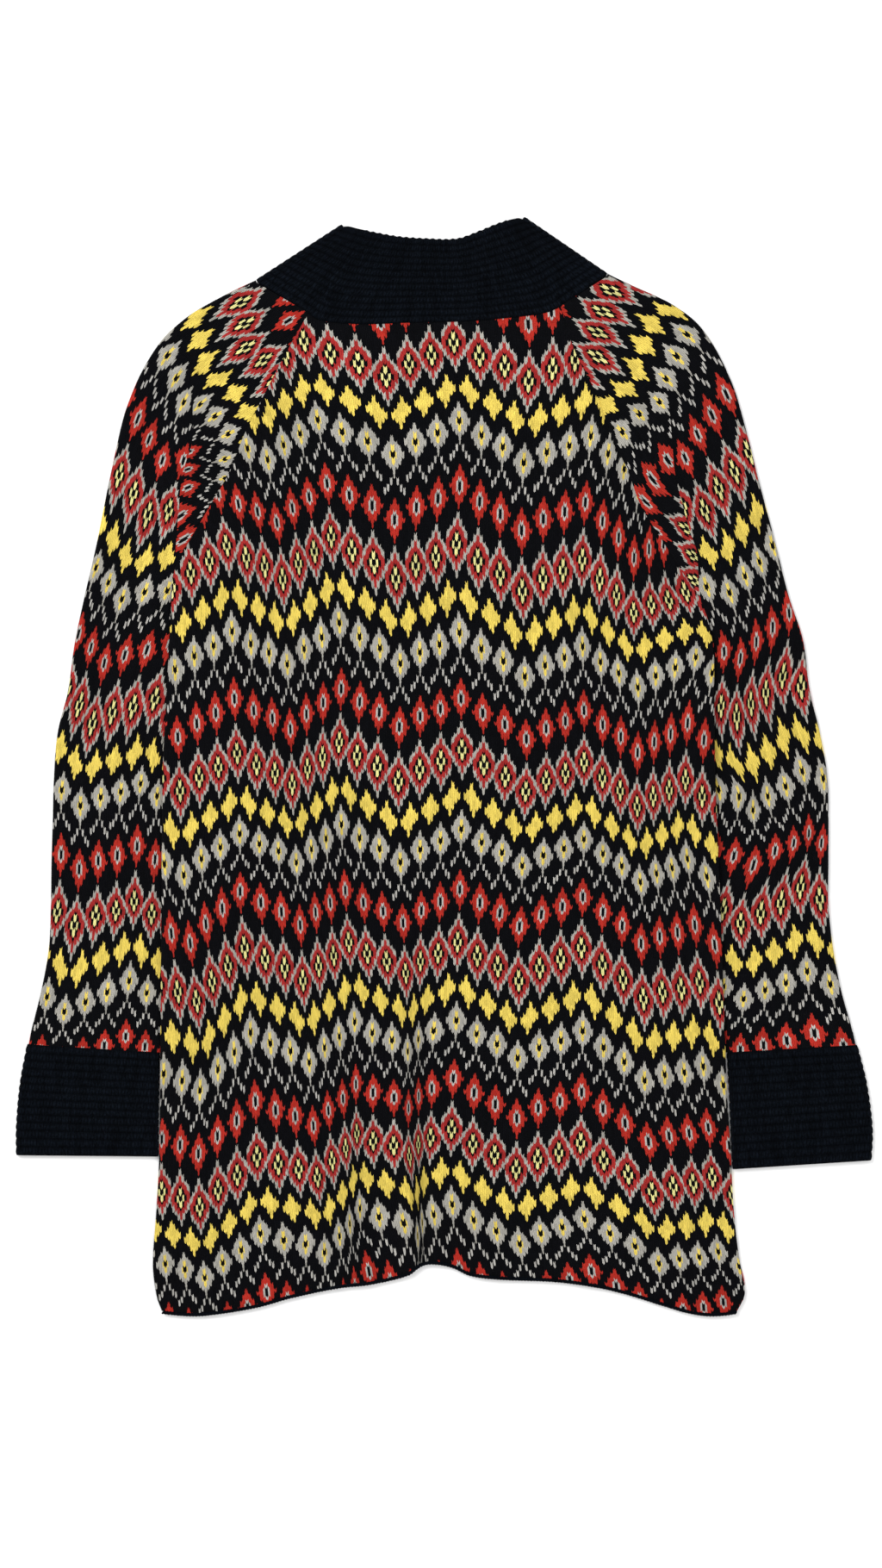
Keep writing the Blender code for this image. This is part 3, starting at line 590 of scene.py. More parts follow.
def ribbed(name, node, face, along, ribs, height, settings, closed=False):
    """A ribbed piece: face gives its points at a radius from its middle, along and ribs their stitches."""
    uv = np.stack(np.broadcast_arrays(along[:, None], ribs[None]), axis=-1)
    height = np.broadcast_to(height[:, None], uv.shape[:2])
    obj = shell(name, face(OUTSIDE), face(INSIDE), uv, closed, height)
    raise_ribs(obj, settings)
    return finish_piece(obj, node)


def shown(angle, flatter):
    """How high ribs stand: full where cloth faces up, lower round a fold, and little on the floor."""
    return between(RIB_FLOOR, 1, smooth(2 - 2 * angle / math.pi)) * (1 - flatter * np.sin(angle))


def stitches_along(points):
    """Stitches from the first of a line of points to each one."""
    return np.concatenate([[0], np.cumsum(np.linalg.norm(np.diff(points, axis=0), axis=-1))]) / STITCH


def shares_with_edges(count, edge):
    """Shares from 0 to 1 in even steps, with closer ones near both ends."""
    fine = edge * np.array(CLOSER)
    return np.concatenate([fine, np.linspace(edge, 1 - edge, count), 1 - fine[::-1]])


def body_grid(columns, body_rows, raglan_rows, hem_rise, half=None):
    """x and y over the body or one front, and the left side's heights; columns are shares across it."""
    sides = []
    for underarm, neck in zip(UNDERARM, NECK):
        low = np.linspace(HEM_LINE, underarm, body_rows + 1)[:-1]
        sides.append(np.concatenate([low, np.linspace(underarm, neck, raglan_rows + 1)]))
    left, right = (through(BODY_EDGES, heights)[k][:, None] for k, heights in enumerate(sides))
    start = BAND_SEAM[1] if half == 1 else left
    end = BAND_SEAM[0] if half == 0 else right
    x = between(start, end, columns[None, :])
    y = between(sides[0][:, None], sides[1][:, None], (x - left) / (right - left))
    near_hem = 1 - smooth((y - HEM_LINE) / HEM_BLEND)
    return x, y + near_hem * (on(HEM, x) - HEM_LINE + hem_rise), sides[0]


def from_edges(x, y):
    """How far each point of a grid is in from its sides, and from its ends."""
    return np.minimum(x - x[:, :1], x[:, -1:] - x), np.minimum(y - y[:1], y[-1:] - y)


def build_back(settings):
    shares = shares_with_edges(settings.back_columns, BACK_STRETCH)
    x, y, left_y = body_grid(shares, settings.back_rows, settings.raglan_rows, PANEL_RISE)
    dip = on(NECKLINE, x[-1]) - y[-1] + OVERLAP
    y = y + smooth((left_y - (NECK[0] - NECK_BLEND)) / NECK_BLEND)[:, None] * dip
    inward = from_edges(x, y)
    relief = smooth(np.minimum(*inward) / SOFT_EDGE) * (folds(BACK_RIPPLES, x, y) + uneven(x, y))
    low = back_height(x, y)
    turn = sum(roll(distance, *size) for distance, size in zip(inward, BACK_TURN))
    top, under = pack(x, y, low + CLOTH + relief - turn), pack(x, y, low + relief * UNDER_RELIEF)
    return patterned("back_knit", "back_panel", top, under, back_stitches(x, y))


def front_grid(half, settings):
    """x and y over one front, from its side or raglan seam to its band seam."""
    columns = shares_with_edges(settings.front_columns, FRONT_STRETCH)
    rows = settings.back_rows // 2
    x, y, _ = body_grid(columns, rows, 1, FRONT_RISE + PANEL_RISE, half)
    x, y = x[: rows + 1], y[: rows + 1]
    steps = np.linspace(0, 1, settings.raglan_rows // 2 + 1)[1:, None]
    edge_y = between(UNDERARM[half], FRONT_RAGLAN[-1][0], steps)
    inner_y = between(y[-1, half - 1], FRONT_NECK, steps)
    edge = (through(FRONT_RAGLAN, edge_y)[half], edge_y)
    inner = (on(BAND[half], inner_y), inner_y)
    first, last = (edge, inner) if half == 0 else (inner, edge)
    return [np.vstack([low, between(first[k], last[k], columns)]) for k, low in enumerate((x, y))]


def build_fronts(settings):
    """Both fronts, on a plain grid of stitches, because no photograph shows them."""
    for half, node in enumerate(("front_left", "front_right")):
        x, y = front_grid(half, settings)
        turn = sum(roll(distance, *size) for distance, size in zip(from_edges(x, y), FRONT_TURN))
        top, under = pack(x, y, lift(x, y) + turn), pack(x, y, lift(x, y) + CLOTH)
        uv = np.stack([x / STITCH, (FRONT_TOP - y) / COURSE], axis=-1)
        patterned(node + "_knit", node, top, under, uv)


def normals(points, side):
    """Unit normals of a line of points, towards the given side in x."""
    last = len(points) - 1
    i = np.arange(last + 1)
    along = across(points[np.maximum(i - 1, 0)], points[np.minimum(i + 1, last)])
    n = np.stack([along[:, 1], -along[:, 0]], axis=-1)
    return n * np.where(n[:, :1] * side > 0, 1.0, -1.0)


def sleeve_lines(half, count):
    """Each course of a sleeve: its point on the back, its outer fold and its point on the front."""
    side, underarm, neck = SIDES[half], UNDERARM[half], NECK[half]
    low = np.linspace(SLEEVE[half][0][0], underarm, count)[:-1]
    y = np.concatenate([low, np.linspace(underarm, neck, count // 2)])
    back, below = through(BODY_EDGES, y)[half], y < underarm
    tucked = side * (SLEEVE_ROOM - on(TUCK, y))
    share = np.clip((y - underarm) / (neck - underarm), 0, 1)
    front_y = np.where(below, y, between(underarm, FRONT_RAGLAN[-1][0], share))
    front_x = np.where(below, back + tucked, through(FRONT_RAGLAN, front_y)[half] + side * SEAM)
    back = back + np.where(below, tucked, side * SEAM) - side * OVERLAP * np.where(below, *SLEEVE_UNDER)
    fold = np.stack(through(SLEEVE[half], y), axis=-1)
    return np.stack([back, y], axis=-1), fold, np.stack([front_x, front_y], axis=-1)


def crease_lap(half, past, y):
    """Height of the cloth turned over at a sleeve's crease; past is how far a point is past it."""
    depth, before, half_width = GROOVE
    lap = LAP * smooth((past + LAP_START) / LAP_RISE) * (1 - smooth(past / LAP_WIDTH))
    lap -= depth * np.exp(-(((past + before) / half_width) ** 2))
    foot, (top, fade) = CREASE[half][0][0] + LAP_FOOT[0], LAP_TOP
    return lap * smooth((y - foot) / LAP_FOOT[1]) * (1 - smooth((y - top) / fade))


def build_sleeves(settings):
    made = []
    shares = np.concatenate([SLEEVE_CLOSER, np.linspace(SLEEVE_STRETCH, 1, settings.sleeve_columns)])
    angle = np.linspace(0, math.pi, settings.fold_steps + 2)[1:-1]
    for half, node in enumerate(("sleeve_left", "sleeve_right")):
        side = SIDES[half]
        back, fold, front = sleeve_lines(half, settings.sleeve_rows)
        n = normals(fold, side)
        axis = fold - n * OUTSIDE
        upper = between(back[:, None], axis[:, None], shares[None, :, None])
        lower = between(front[:, None], axis[:, None], shares[None, ::-1, None])
        x, y = upper[..., 0], upper[..., 1]
        past = side * (on(CREASE[half], y) - x)
        beside = side * (x - through(BODY_EDGES, y)[half])
        soft = smooth((beside - SLEEVE_EDGE) / SOFT_EDGE) * smooth((1 - shares) / SLEEVE_FADE)
        relief = folds(SLEEVE_FOLDS[half], x, y) + SLEEVE_UNEVEN * uneven(x, y)
        relief = soft * (relief + crease_lap(half, past, y))
        turn = roll(np.linalg.norm(upper - upper[:, :1], axis=-1), *SLEEVE_TURN)

        def layer(radius, rise):
            bend = axis[:, None] + n[:, None] * (radius * np.sin(angle))[None, :, None]
            parts = [pack(x, y, AXIS + radius + rise)]
            parts.append(pack(bend[..., 0], bend[..., 1], AXIS + radius * np.cos(angle)))
            parts.append(pack(lower[..., 0], lower[..., 1], AXIS - radius))
            return np.concatenate(parts, axis=1)

        column, row = sleeve_stitches(SLEEVE_MOTIFS[half], x, y)
        far = column[:, -1:]
        round_fold = np.sign(np.mean(far - column[:, :1])) * math.pi * OUTSIDE / STITCH
        bend = far + round_fold * angle / math.pi
        column = np.hstack([column, bend, 2 * far + round_fold - column[:, ::-1]])
        row = np.hstack([row, np.repeat(row[:, -1:], len(angle), axis=1), row[:, ::-1]])
        uv = np.stack([column, row], axis=-1)
        turned, flap_past = uv.copy(), np.full(uv.shape[:2], NO_FLAP)
        motifs = tuple(course for course in SLEEVE_MOTIFS[half] if course[0] < TURNED_ROW) + FLAP_MOTIFS[half]
        turned[:, : len(shares)] = np.stack(sleeve_stitches(motifs, x, y), axis=-1)
        flap_past[:, : len(shares)] = past
        top, under = layer(OUTSIDE, relief - turn), layer(INSIDE, relief)
        material, flap = "turned_lozenge_knit", (turned, flap_past)
        made.append(patterned(node + "_knit", node, top, under, uv, material, flap))
    return made


def build_cuffs(settings):
    made = []
    down = np.linspace(0, 1, settings.cuff_ribs * settings.rib_steps + 1)
    flat = np.linspace(0, 1, settings.cuff_columns)[:-1]
    turn = np.linspace(0, math.pi, settings.fold_steps + 1)
    # Round the cuff: along its upper side, the outer fold, its lower side and the inner fold.
    share = np.concatenate([flat, np.ones(len(turn)), 1 - flat[1:], np.zeros(len(turn) - 1)])
    angle = np.concatenate([0 * flat, turn, 0 * flat[1:] + math.pi, turn[:0:-1]])
    for half, node in enumerate(("cuff_left", "cuff_right")):
        outer_x, outer_y, inner_x, inner_y = through(CUFF[half], down)
        outer, inner = np.stack([outer_x, outer_y], -1), np.stack([inner_x, inner_y], -1)
        for edge in (outer, inner):
            edge[0] += OVERLAP * across(edge[1], edge[0])
        n = across(inner, outer)
        inset = OUTSIDE + settings.rib_height
        far, near = outer - n * inset, inner + n * (inset - 2 * OVERLAP)

        def ring(radius):
            place = between(near, far, share[:, None, None])
            place = place + n * (radius * np.sin(angle) * (2 * share - 1))[:, None, None]
            return pack(place[..., 0], place[..., 1], AXIS + radius * np.cos(angle)[:, None])

        around = stitches_along(ring(OUTSIDE)[:, 0])
        around *= round(around[-1]) / around[-1]
        ribs, height = down * settings.cuff_ribs, shown(angle, CUFF_FLATTER)
        made.append(ribbed(node + "_rib", node, ring, around, ribs, height, settings, closed=True))
    return made


def band_lines(half, settings):
    """Lines across half of the collar, from the hem to the neck's corner: seam, free edge, normal, angle."""
    side, seam_x = SIDES[half], BAND_SEAM[half]
    lines = []
    for y in np.linspace(BAND_FOOT, FRONT_NECK, settings.band_rows):
        x, free_x, free_y = through(BAND[half], y)
        near_hem = 1 - smooth((y - BAND_FOOT) / BAND_BLEND)
        seam_y = between(y, on(HEM, seam_x) + FRONT_RISE, near_hem)
        free_y = between(free_y, on(HEM, free_x) + FRONT_RISE, near_hem)
        lines.append(((x - side * SEAM, seam_y), (free_x, free_y), FLAT, math.pi))
    along = across(SHOULDER[half], PEAK[half])
    n = np.array((along[1], -along[0])) * side
    hinge = np.array((SHOULDER[half] + along * SHOULDER_ROOM, PEAK[half])) - n * OUTSIDE
    last = np.array(lines[-1][:2])
    steps = np.linspace(0, 1, settings.turn_rows)[1:-1]
    for share in steps:
        ease = between(share, smooth(share), TURN_EASE)
        lines.append((between(last[0], hinge[0], share), between(last[1], hinge[1], ease), FLAT, math.pi))
    for angle in np.linspace(math.pi, 0, settings.fold_steps + 1):
        lines.append((*hinge, n, angle))
    neck_x = through(BODY_EDGES, NECK[half])[half]
    corner = np.array((neck_x, on(NECKLINE, neck_x) + SEAM))
    for share in steps:
        edge_x = between(hinge[1][0], COLLAR_MIDDLE[half], share)
        edge_y = between(hinge[1][1], on(COLLAR_TOP, edge_x), min(1.0, share * TOP_RUN))
        lines.append((between(hinge[0], corner, share), (edge_x, edge_y), FLAT, 0.0))
    return lines


def build_collar(settings):
    lines = band_lines(0, settings)
    left_x, right_x = (through(BODY_EDGES, height)[k] for k, height in enumerate(NECK))
    for share in np.linspace(0, 1, settings.neck_rows):
        x, free_x = between(left_x, right_x, share), between(*COLLAR_MIDDLE, share)
        free_y = on(COLLAR_TOP, free_x) + TOP_BUMP * math.sin(free_x * 2 * math.pi / TOP_BUMP_LENGTH)
        lines.append(((x, on(NECKLINE, x) + SEAM - OVERLAP), (free_x, free_y), FLAT, 0.0))
    lines += band_lines(1, settings)[::-1]
    seam, free, n, angle = (np.array([line[k] for line in lines], float) for k in range(4))
    shares = np.linspace(0, 1, settings.collar_ribs * settings.rib_steps + 1)

    def face(radius):
        place = between(seam[:, None], free[:, None], shares[None, :, None])
        place = place + n[:, None] * (radius * np.sin(angle))[:, None, None]
        x, y = place[..., 0], place[..., 1]
        sunk = np.where(angle[:, None] == 0, sag(x, y), 0)
        return pack(x, y, AXIS + radius * np.cos(angle)[:, None] - sunk)

    along = stitches_along(face(OUTSIDE)[:, len(shares) // 2])
    ribs, height = shares * settings.collar_ribs, shown(angle, COLLAR_FLATTER)
    return ribbed("collar_rib", "collar", face, along, ribs, height, settings)


class Wire:
    """A value inside a node tree, so that a chart can be written as arithmetic."""

    def __init__(self, node, output=0):
        self.socket = node.outputs[output]

    def into(self, kind, inputs, output=0, **properties):
        """A wire from a new node in the same tree."""
        return Wire(add(self.socket.id_data, kind, inputs, **properties), output)

    def math(self, operation, *others):
        return self.into("ShaderNodeMath", dict(enumerate((self, *others))), operation=operation)


def wire_method(operation):
    """A method of Wire for one of the Math node's operations."""
    return lambda self, *others: self.math(operation, *others)


WIRE_METHODS = {
    "__add__": "ADD", "__sub__": "SUBTRACT", "__mul__": "MULTIPLY", "__truediv__": "DIVIDE",
    "__abs__": "ABSOLUTE", "under": "LESS_THAN", "over": "GREATER_THAN", "floor": "FLOOR", "fract": "FRACT",
    "wrap": "FLOORED_MODULO", "at_least": "MAXIMUM", "at_most": "MINIMUM", "sine": "SINE", "cosine": "COSINE",
    "power": "POWER", "sign": "SIGN",
}
for method, operation in WIRE_METHODS.items():
    setattr(Wire, method, wire_method(operation))


def join(node, inputs):
    """Gives a node's inputs, by name or number, their wires or values."""
    for name, value in inputs.items():
        if isinstance(value, Wire):
            node.id_data.links.new(value.socket, node.inputs[name])
        else:
            node.inputs[name].default_value = value


def add(tree, kind, inputs=None, **properties):
    """A new node with its properties set and its inputs joined."""
    node = tree.nodes.new(kind)
    for name, value in properties.items():
        setattr(node, name, value)
    join(node, inputs or {})
    return node


def once(collection, name, build):
    """The material or node group of that name, which is built the first time."""
    return collection.get(name) or build(name)


def placed(tree, name, build, inputs):
    """A shader group's node."""
    return add(tree, "ShaderNodeGroup", inputs, node_tree=once(bpy.data.node_groups, name, build))


def group(kind, name, inputs, outputs):
    """A new node group: its tree, a wire for each input, and its output node.

    A socket is given by its kind, or by the default value of a number.
    """
    tree = bpy.data.node_groups.new(name, kind + "NodeTree")
    for direction, sockets in (("INPUT", inputs), ("OUTPUT", outputs)):
        for label, value in sockets.items():
            number = {int: "Int", float: "Float"}.get(type(value))
            socket_type = "NodeSocket" + (number or value)
            socket = tree.interface.new_socket(label, in_out=direction, socket_type=socket_type)
            if number:
                socket.default_value = value
    inside = tree.nodes.new("NodeGroupInput")
    return tree, {label: Wire(inside, label) for label in inputs}, tree.nodes.new("NodeGroupOutput")


def noise(place, scale, detail=2.0, rough=0.5):
    values = {"Vector": place, "Scale": scale, "Detail": detail, "Roughness": rough}
    return place.into("ShaderNodeTexNoise", values, "Fac")


def vector(*parts):
    return parts[0].into("ShaderNodeCombineXYZ", dict(enumerate(parts)))


def x_and_y(place):
    split = add(place.socket.id_data, "ShaderNodeSeparateXYZ", {0: place})
    return Wire(split, 0), Wire(split, 1)


def scaled(place, factor):
    return place.into("ShaderNodeVectorMath", {0: place, "Scale": factor}, operation="SCALE")


def colour_wire(tree, colour, share=1.0):
    """A share of a colour, as a wire."""
    node = tree.nodes.new("ShaderNodeRGB")
    node.outputs[0].default_value = (*(share * c for c in colour), 1)
    return Wire(node)


MIX_SOCKETS = {"RGBA": (6, 7, 2), "VECTOR": (4, 5, 1)}  # numbers of a Mix node's two inputs and its output


def blend(mask, under, over, kind="RGBA"):
    """The colour or vector over where mask is 1, and under where it is 0."""
    a, b, result = MIX_SOCKETS[kind]
    return mask.into("ShaderNodeMix", {0: mask, a: under, b: over}, result, data_type=kind)


def motif_wires(column):
    """The motif that a column is in, how many columns it is from the middle, and on which side."""
    motif = ((column + 3.0) / MOTIF + 0.01).floor()
    offset = column - motif * MOTIF
    return motif, abs(offset), offset.sign()


def zigzag_wires(motif):
    """How many motifs below the zigzag's top a motif is, and how many rows."""
    step = abs(motif.wrap(2.0 * WAVE) - WAVE) * -1.0 + WAVE
    return step, (step * DROP + 0.5).floor()


def knit_group(name):
    """Stitches drawn long, as Vs: a point's column and row, how high its yarn is, and its stitch's chance."""
    tree, inside, out = group(
        "Shader", name, {"Stitches": "Vector", "Fork": 0.8, "Ragged": 0.5},
        dict.fromkeys(("Column", "Row", "Offset", "Yarn", "Chance"), "Float"),
    )
    (u, v), fork, ragged = x_and_y(inside["Stitches"]), inside["Fork"], inside["Ragged"]
    # The columns waver, and a stitch's two legs slant into a V that ends raggedly.
    u = u + (noise(inside["Stitches"], 0.9, 3.0) - 0.5) * ragged * 0.45
    column = (u + 0.5).floor()
    aside = abs(u - column)
    uneven_row = noise(vector(u * 2.3, v * 0.7), 1.0) - 0.5
    sunk = v - 0.5 + uneven_row * ragged * 1.6 + aside * fork * 2.0 - fork
    _, drop = zigzag_wires(motif_wires(column)[0])
    # A stitch is two rows long. Each leg is highest along its middle, and fine strands run down it.
    pairs = (sunk - drop + 1.0) * 0.5
    along = pairs.fract()
    leg = (abs(aside - 0.31 + along * 0.15) / 0.2).at_most(1.0)
    yarn = (leg * leg * -1.0 + 1.0) * ((along * math.pi).sine() * 0.5 + 0.5)
    strands = noise(vector(u * 9.0, v * 1.6), 1.0) - 0.5
    place = {"Vector": vector(column, pairs.floor(), column)}
    chance = column.into("ShaderNodeTexWhiteNoise", place, "Value", noise_dimensions="2D")
    row, yarn = sunk.floor() + 0.5, yarn + strands * 0.35
    join(out, {"Column": column, "Row": row, "Offset": u - column, "Yarn": yarn, "Chance": chance})
    return tree


CHART_COLOURS = ("Ground", "Grey", "Crimson", "Red", "Pale Grey", "Yellow", "Pale Yellow")
RED_ROW, FLOWER_ROW, YELLOW_ROW = 43.5, 24.0, 13.0  # rows from an eye's middle to those lozenges' middles
NARROWING = 1.9  # how much faster a shape ends on the side of a stitch that lies away from its middle
LEG_EDGE = 0.2  # from this far out in the stitch


def chart_group(name):
    """The lozenge chart: the colour of a stitch by its column and row, on motifs of seven columns each."""
    places = dict.fromkeys(("Column", "Row", "Offset"), "Float")
    inputs = places | dict.fromkeys(CHART_COLOURS, "Color")
    tree, inside, out = group("Shader", name, inputs, {"Color": "Color"})
    motif, beside, side = motif_wires(inside["Column"])
    step, drop = zigzag_wires(motif)
    next_step, _ = zigzag_wires(motif + side)
    level = inside["Row"] - drop
    # A stitch is narrower than its column, so a shape loses a little on the side away from its middle.
    offset = inside["Offset"]
    middle, next_to, outer = beside.under(0.5), beside.over(0.5) * beside.under(1.5), beside.over(0.5)
    outward = middle * abs(offset) + offset * side
    far = beside + (outward - LEG_EDGE).at_least(0.0) * NARROWING
    near = beside - (outward * -1.0 - LEG_EDGE).at_least(0.0) * NARROWING
    half = REPEAT / 2
    shade = inside["Ground"]

    def from_centre(centre):
        return (level - centre + half).wrap(REPEAT) - half

    def lay(mask, colour):
        nonlocal shade
        shade = blend(mask, shade, inside[colour])

    # The eye, from outside in: grey with a tip above and below, crimson, ground and four pale yellow spots.
    pupil = abs(from_centre(0.0))
    eye = pupil + far * 1.8
    lay(middle * abs(offset).under(0.4) * pupil.under(9.4), "Grey")
    for reach, colour in ((9.0, "Grey"), (7.3, "Crimson"), (4.5, "Ground")):
        lay(eye.under(reach), colour)
    lay(middle * pupil.under(3.2) * pupil.over(1.4), "Pale Yellow")
    lay(next_to * pupil.under(1.2) * outward.under(0.35) * outward.over(-0.3), "Pale Yellow")
    # The yellow lozenge between two motifs: half in each, and the half by the higher motif is higher.
    yellow = from_centre(next_step - step + YELLOW_ROW)
    lay(outer * abs(yellow).under(near * 1.4 - 0.4), "Yellow")
    # The grey flower with its yellow ring, and the lattice that hangs from it.
    below_flower = from_centre(FLOWER_ROW)
    flower = abs(below_flower)
    lay(flower.under(far * -1.6 + 5.8), "Grey")
    lay(middle * flower.under(2.8), "Yellow")
    lay(next_to * flower.under(1.4) * outward.under(0.1), "Yellow")
    lay((middle + next_to * outward.under(-0.3)) * flower.under(1.3), "Ground")
    lay(middle * abs(offset).under(0.2) * below_flower.over(4.0) * below_flower.under(6.7), "Grey")
    hang = below_flower - beside * 1.8
    lay(outer * abs(offset).under(0.32) * hang.over(5.0) * hang.under(7.0), "Pale Grey")
    # The red lozenge with its pale heart.
    heart = abs(from_centre(RED_ROW))
    lay(heart.under(far * -1.8 + 6.2), "Red")
    lay((middle + next_to * heart.under(1.5) * outward.under(0.15)) * heart.under(2.8), "Pale Grey")
    lay(middle * heart.under(1.9), "Ground")
    join(out, {"Color": shade})
    return tree


def depth_group(name):
    """Yarn that varies from stitch to stitch, has painted shade between its strands, and has pale fibres on
    top.
    """
    tree, inside, out = group(
        "Shader", name,
        {
            "Color": "Color", "Yarn": 0.5, "Chance": 0.5, "Stitches": "Vector", "Shade Between Strands": 0.35,
            "Variation": 0.2, "Fibre": "Color", "Fibres": 0.1,
        },
        {"Color": "Color"},
    )
    place, bottom, variation = inside["Stitches"], inside["Shade Between Strands"], inside["Variation"]
    worn = noise(place, 0.11, 3.0) - 0.5
    # Painted shade: the colour darkens where the yarn lies low, between its strands and stitches.
    value = bottom + inside["Yarn"].at_least(0.0).at_most(1.0) * (bottom * -1.0 + 1.0)
    value = value * ((inside["Chance"] - 0.5) * variation + 1.0 + worn * variation)
    fibres = noise(place, 3.1, 4.0, 0.7).over(0.63) * inside["Fibres"]
    join(out, {"Color": blend(fibres, scaled(inside["Color"], value), inside["Fibre"])})
    return tree


WOOL = {"Roughness": 0.92, "Specular IOR Level": 0.03}
SHEEN = {"Sheen Weight": 0.008, "Sheen Roughness": 0.5}
EDGE_BUMP = 0.0004  # height of the edging's fibres in metres


def surface(name, values):
    """A new material, and its shader."""
    material = bpy.data.materials.new(name)
    material.use_nodes = True
    shader = material.node_tree.nodes["Principled BSDF"]
    join(shader, values)
    return material, shader


def raise_surface(shader, height, distance):
    """Gives a shader the bumps of a height, which counts for so many metres."""
    bump = add(shader.id_data, "ShaderNodeBump", {"Height": height, "Distance": distance})
    join(shader, {"Normal": Wire(bump, "Normal")})


def uv_wire(tree, name):
    return Wire(add(tree, "ShaderNodeUVMap", uv_map=name), "UV")


def finish_yarn(shader, stitches, knit, colour, height, **values):
    """Gives a knitted material its sheen, its colour through the yarn's depth with painted shade between
    strands, and its raised stitches.
    """
    settings = bpy.context.scene.cardigan
    yarn = {label: Wire(knit, label) for label in ("Yarn", "Chance")}
    inputs = {"Color": colour, "Stitches": stitches} | yarn | values
    depth = placed(shader.id_data, "Yarn Depth", depth_group, inputs)
    join(shader, {"Base Color": Wire(depth, "Color")} | SHEEN)
    raise_surface(shader, height, settings.stitch_relief)


def lozenge_material(name):
    """The patterned knit, and for a sleeve also the map of its flap, past the crease."""
    settings = bpy.context.scene.cardigan
    material, shader = surface(name, WOOL)
    tree = shader.id_data
    stitches = uv_wire(tree, "Stitches")
    if name.startswith("turned"):
        past_crease = x_and_y(uv_wire(tree, "Past Crease"))[0].over(0.0)
        stitches = blend(past_crease, stitches, uv_wire(tree, "Turned Stitches"), "VECTOR")
    knit = placed(tree, "Knit Stitches", knit_group, {"Stitches": stitches})
    inputs = {label: Wire(knit, label) for label in ("Column", "Row", "Offset")}
    for label in CHART_COLOURS:
        inputs[label] = (*getattr(settings, label.lower().replace(" ", "_")), 1)
    chart = placed(tree, "Lozenge Chart", chart_group, inputs)
    # The first value is the painted shade between strands: the share of the colour left where the yarn lies
    # lowest.
    values = {"Shade Between Strands": 0.68, "Variation": 0.3, "Fibre": (0.2, 0.19, 0.18, 1), "Fibres": 0.04}
    finish_yarn(shader, stitches, knit, Wire(chart), Wire(knit, "Yarn"), **values)
    join(shader, {"Sheen Tint": (0.9, 0.88, 0.85, 1)})
    return material


def rib_material(name):
    """Dark ribbing with painted highlights on its ridges and painted shade in the grooves between them."""
    settings = bpy.context.scene.cardigan
    material, shader = surface(name, WOOL)
    tree = shader.id_data
    stitches = uv_wire(tree, "Stitches")
    knit = placed(tree, "Knit Stitches", knit_group, {"Stitches": stitches, "Fork": 0.2})
    along, ridge = x_and_y(stitches)
    crown = abs((ridge * math.pi).sine())
    # A loose lobe for each stitch, offset from ridge to ridge, under an uneven grain.
    grain = (noise(vector(along * 1.3, ridge * 2.6), 1.0, 3.0, 0.7) - 0.5) * 2.6 + 0.6
    loose = noise(vector(along * 0.5, ridge * 1.1), 1.0) - 0.5
    lobe = crown * abs(((along + loose * 1.2 + ridge.floor().wrap(2.0) * 0.5) * math.pi).sine())
    # Painted highlight and shade: the mask is high on the ridges' crowns and stitch lobes and low in the
    # grooves; the grain is the yarn's own uneven tone.
    mask = ((crown * 0.25 + lobe * 0.45 + 0.15) * grain * 1.5).at_least(0.0).at_most(1.0)
    height = lobe * 1.3 + grain * 0.4 + Wire(knit, "Yarn") * 0.4
    # A darker copy of the rib yarn as painted shade and a lighter one as painted highlight, mixed by that
    # mask.
    colour = blend(mask, colour_wire(tree, settings.rib, 0.3), colour_wire(tree, settings.rib, 2.1))
    # The first value is the painted shade between strands: the share of the colour left where the yarn lies
    # lowest.
    values = {"Shade Between Strands": 0.6, "Variation": 0.6, "Fibre": (0.014, 0.018, 0.024, 1), "Fibres": 0.35}
    finish_yarn(shader, stitches, knit, colour, height, **values)
    join(shader, {"Sheen Tint": (0.5, 0.55, 0.7, 1)})
    return material


def edging_material(name):
    """Dark wool whose fibres follow the edging, on object coordinates."""
    settings = bpy.context.scene.cardigan
    material, shader = surface(name, WOOL)
    tree = shader.id_data
    place = Wire(tree.nodes.new("ShaderNodeTexCoord"), "Object")
    fibres = noise(place, 1400.0, 3.0, 0.6)
    mask = fibres * noise(place, 90.0) * 2.0
    colour = blend(mask, colour_wire(tree, settings.rib, 0.25), colour_wire(tree, settings.rib, 1.3))
    join(shader, {"Base Color": colour})
    raise_surface(shader, fibres, EDGE_BUMP)
    return material


def geometry_group(name, inputs):
    """A new geometry group that takes and gives a geometry, and takes the inputs and a material."""
    inputs = {"Geometry": "Geometry"} | inputs | {"Material": "Material"}
    return group("Geometry", name, inputs, {"Geometry": "Geometry"})


def finished(tree, geometry, inside, out):
    """Ends a geometry group: its instances are realised and take the material."""
    real = geometry.into("GeometryNodeRealizeInstances", {"Geometry": geometry})
    paint = {"Geometry": real, "Material": inside["Material"]}
    join(out, {"Geometry": real.into("GeometryNodeSetMaterial", paint)})
    return tree


def run_group(obj, name, build, values):
    """Runs a geometry group on an object, and gives the result as a plain mesh."""
    tree = once(bpy.data.node_groups, name, build)
    modifier = obj.modifiers.new(name, "NODES")
    modifier.node_group = tree
    for socket in tree.interface.items_tree:
        if socket.name in values:
            modifier[socket.identifier] = values[socket.name]
    graph = bpy.context.evaluated_depsgraph_get()
    mesh = bpy.data.meshes.new_from_object(obj.evaluated_get(graph), depsgraph=graph)
    obj.modifiers.remove(modifier)
    mesh.materials.clear()
    mesh.materials.append(values["Material"])
    mesh.polygons.foreach_set("material_index", np.zeros(len(mesh.polygons), dtype=np.int32))
    return mesh


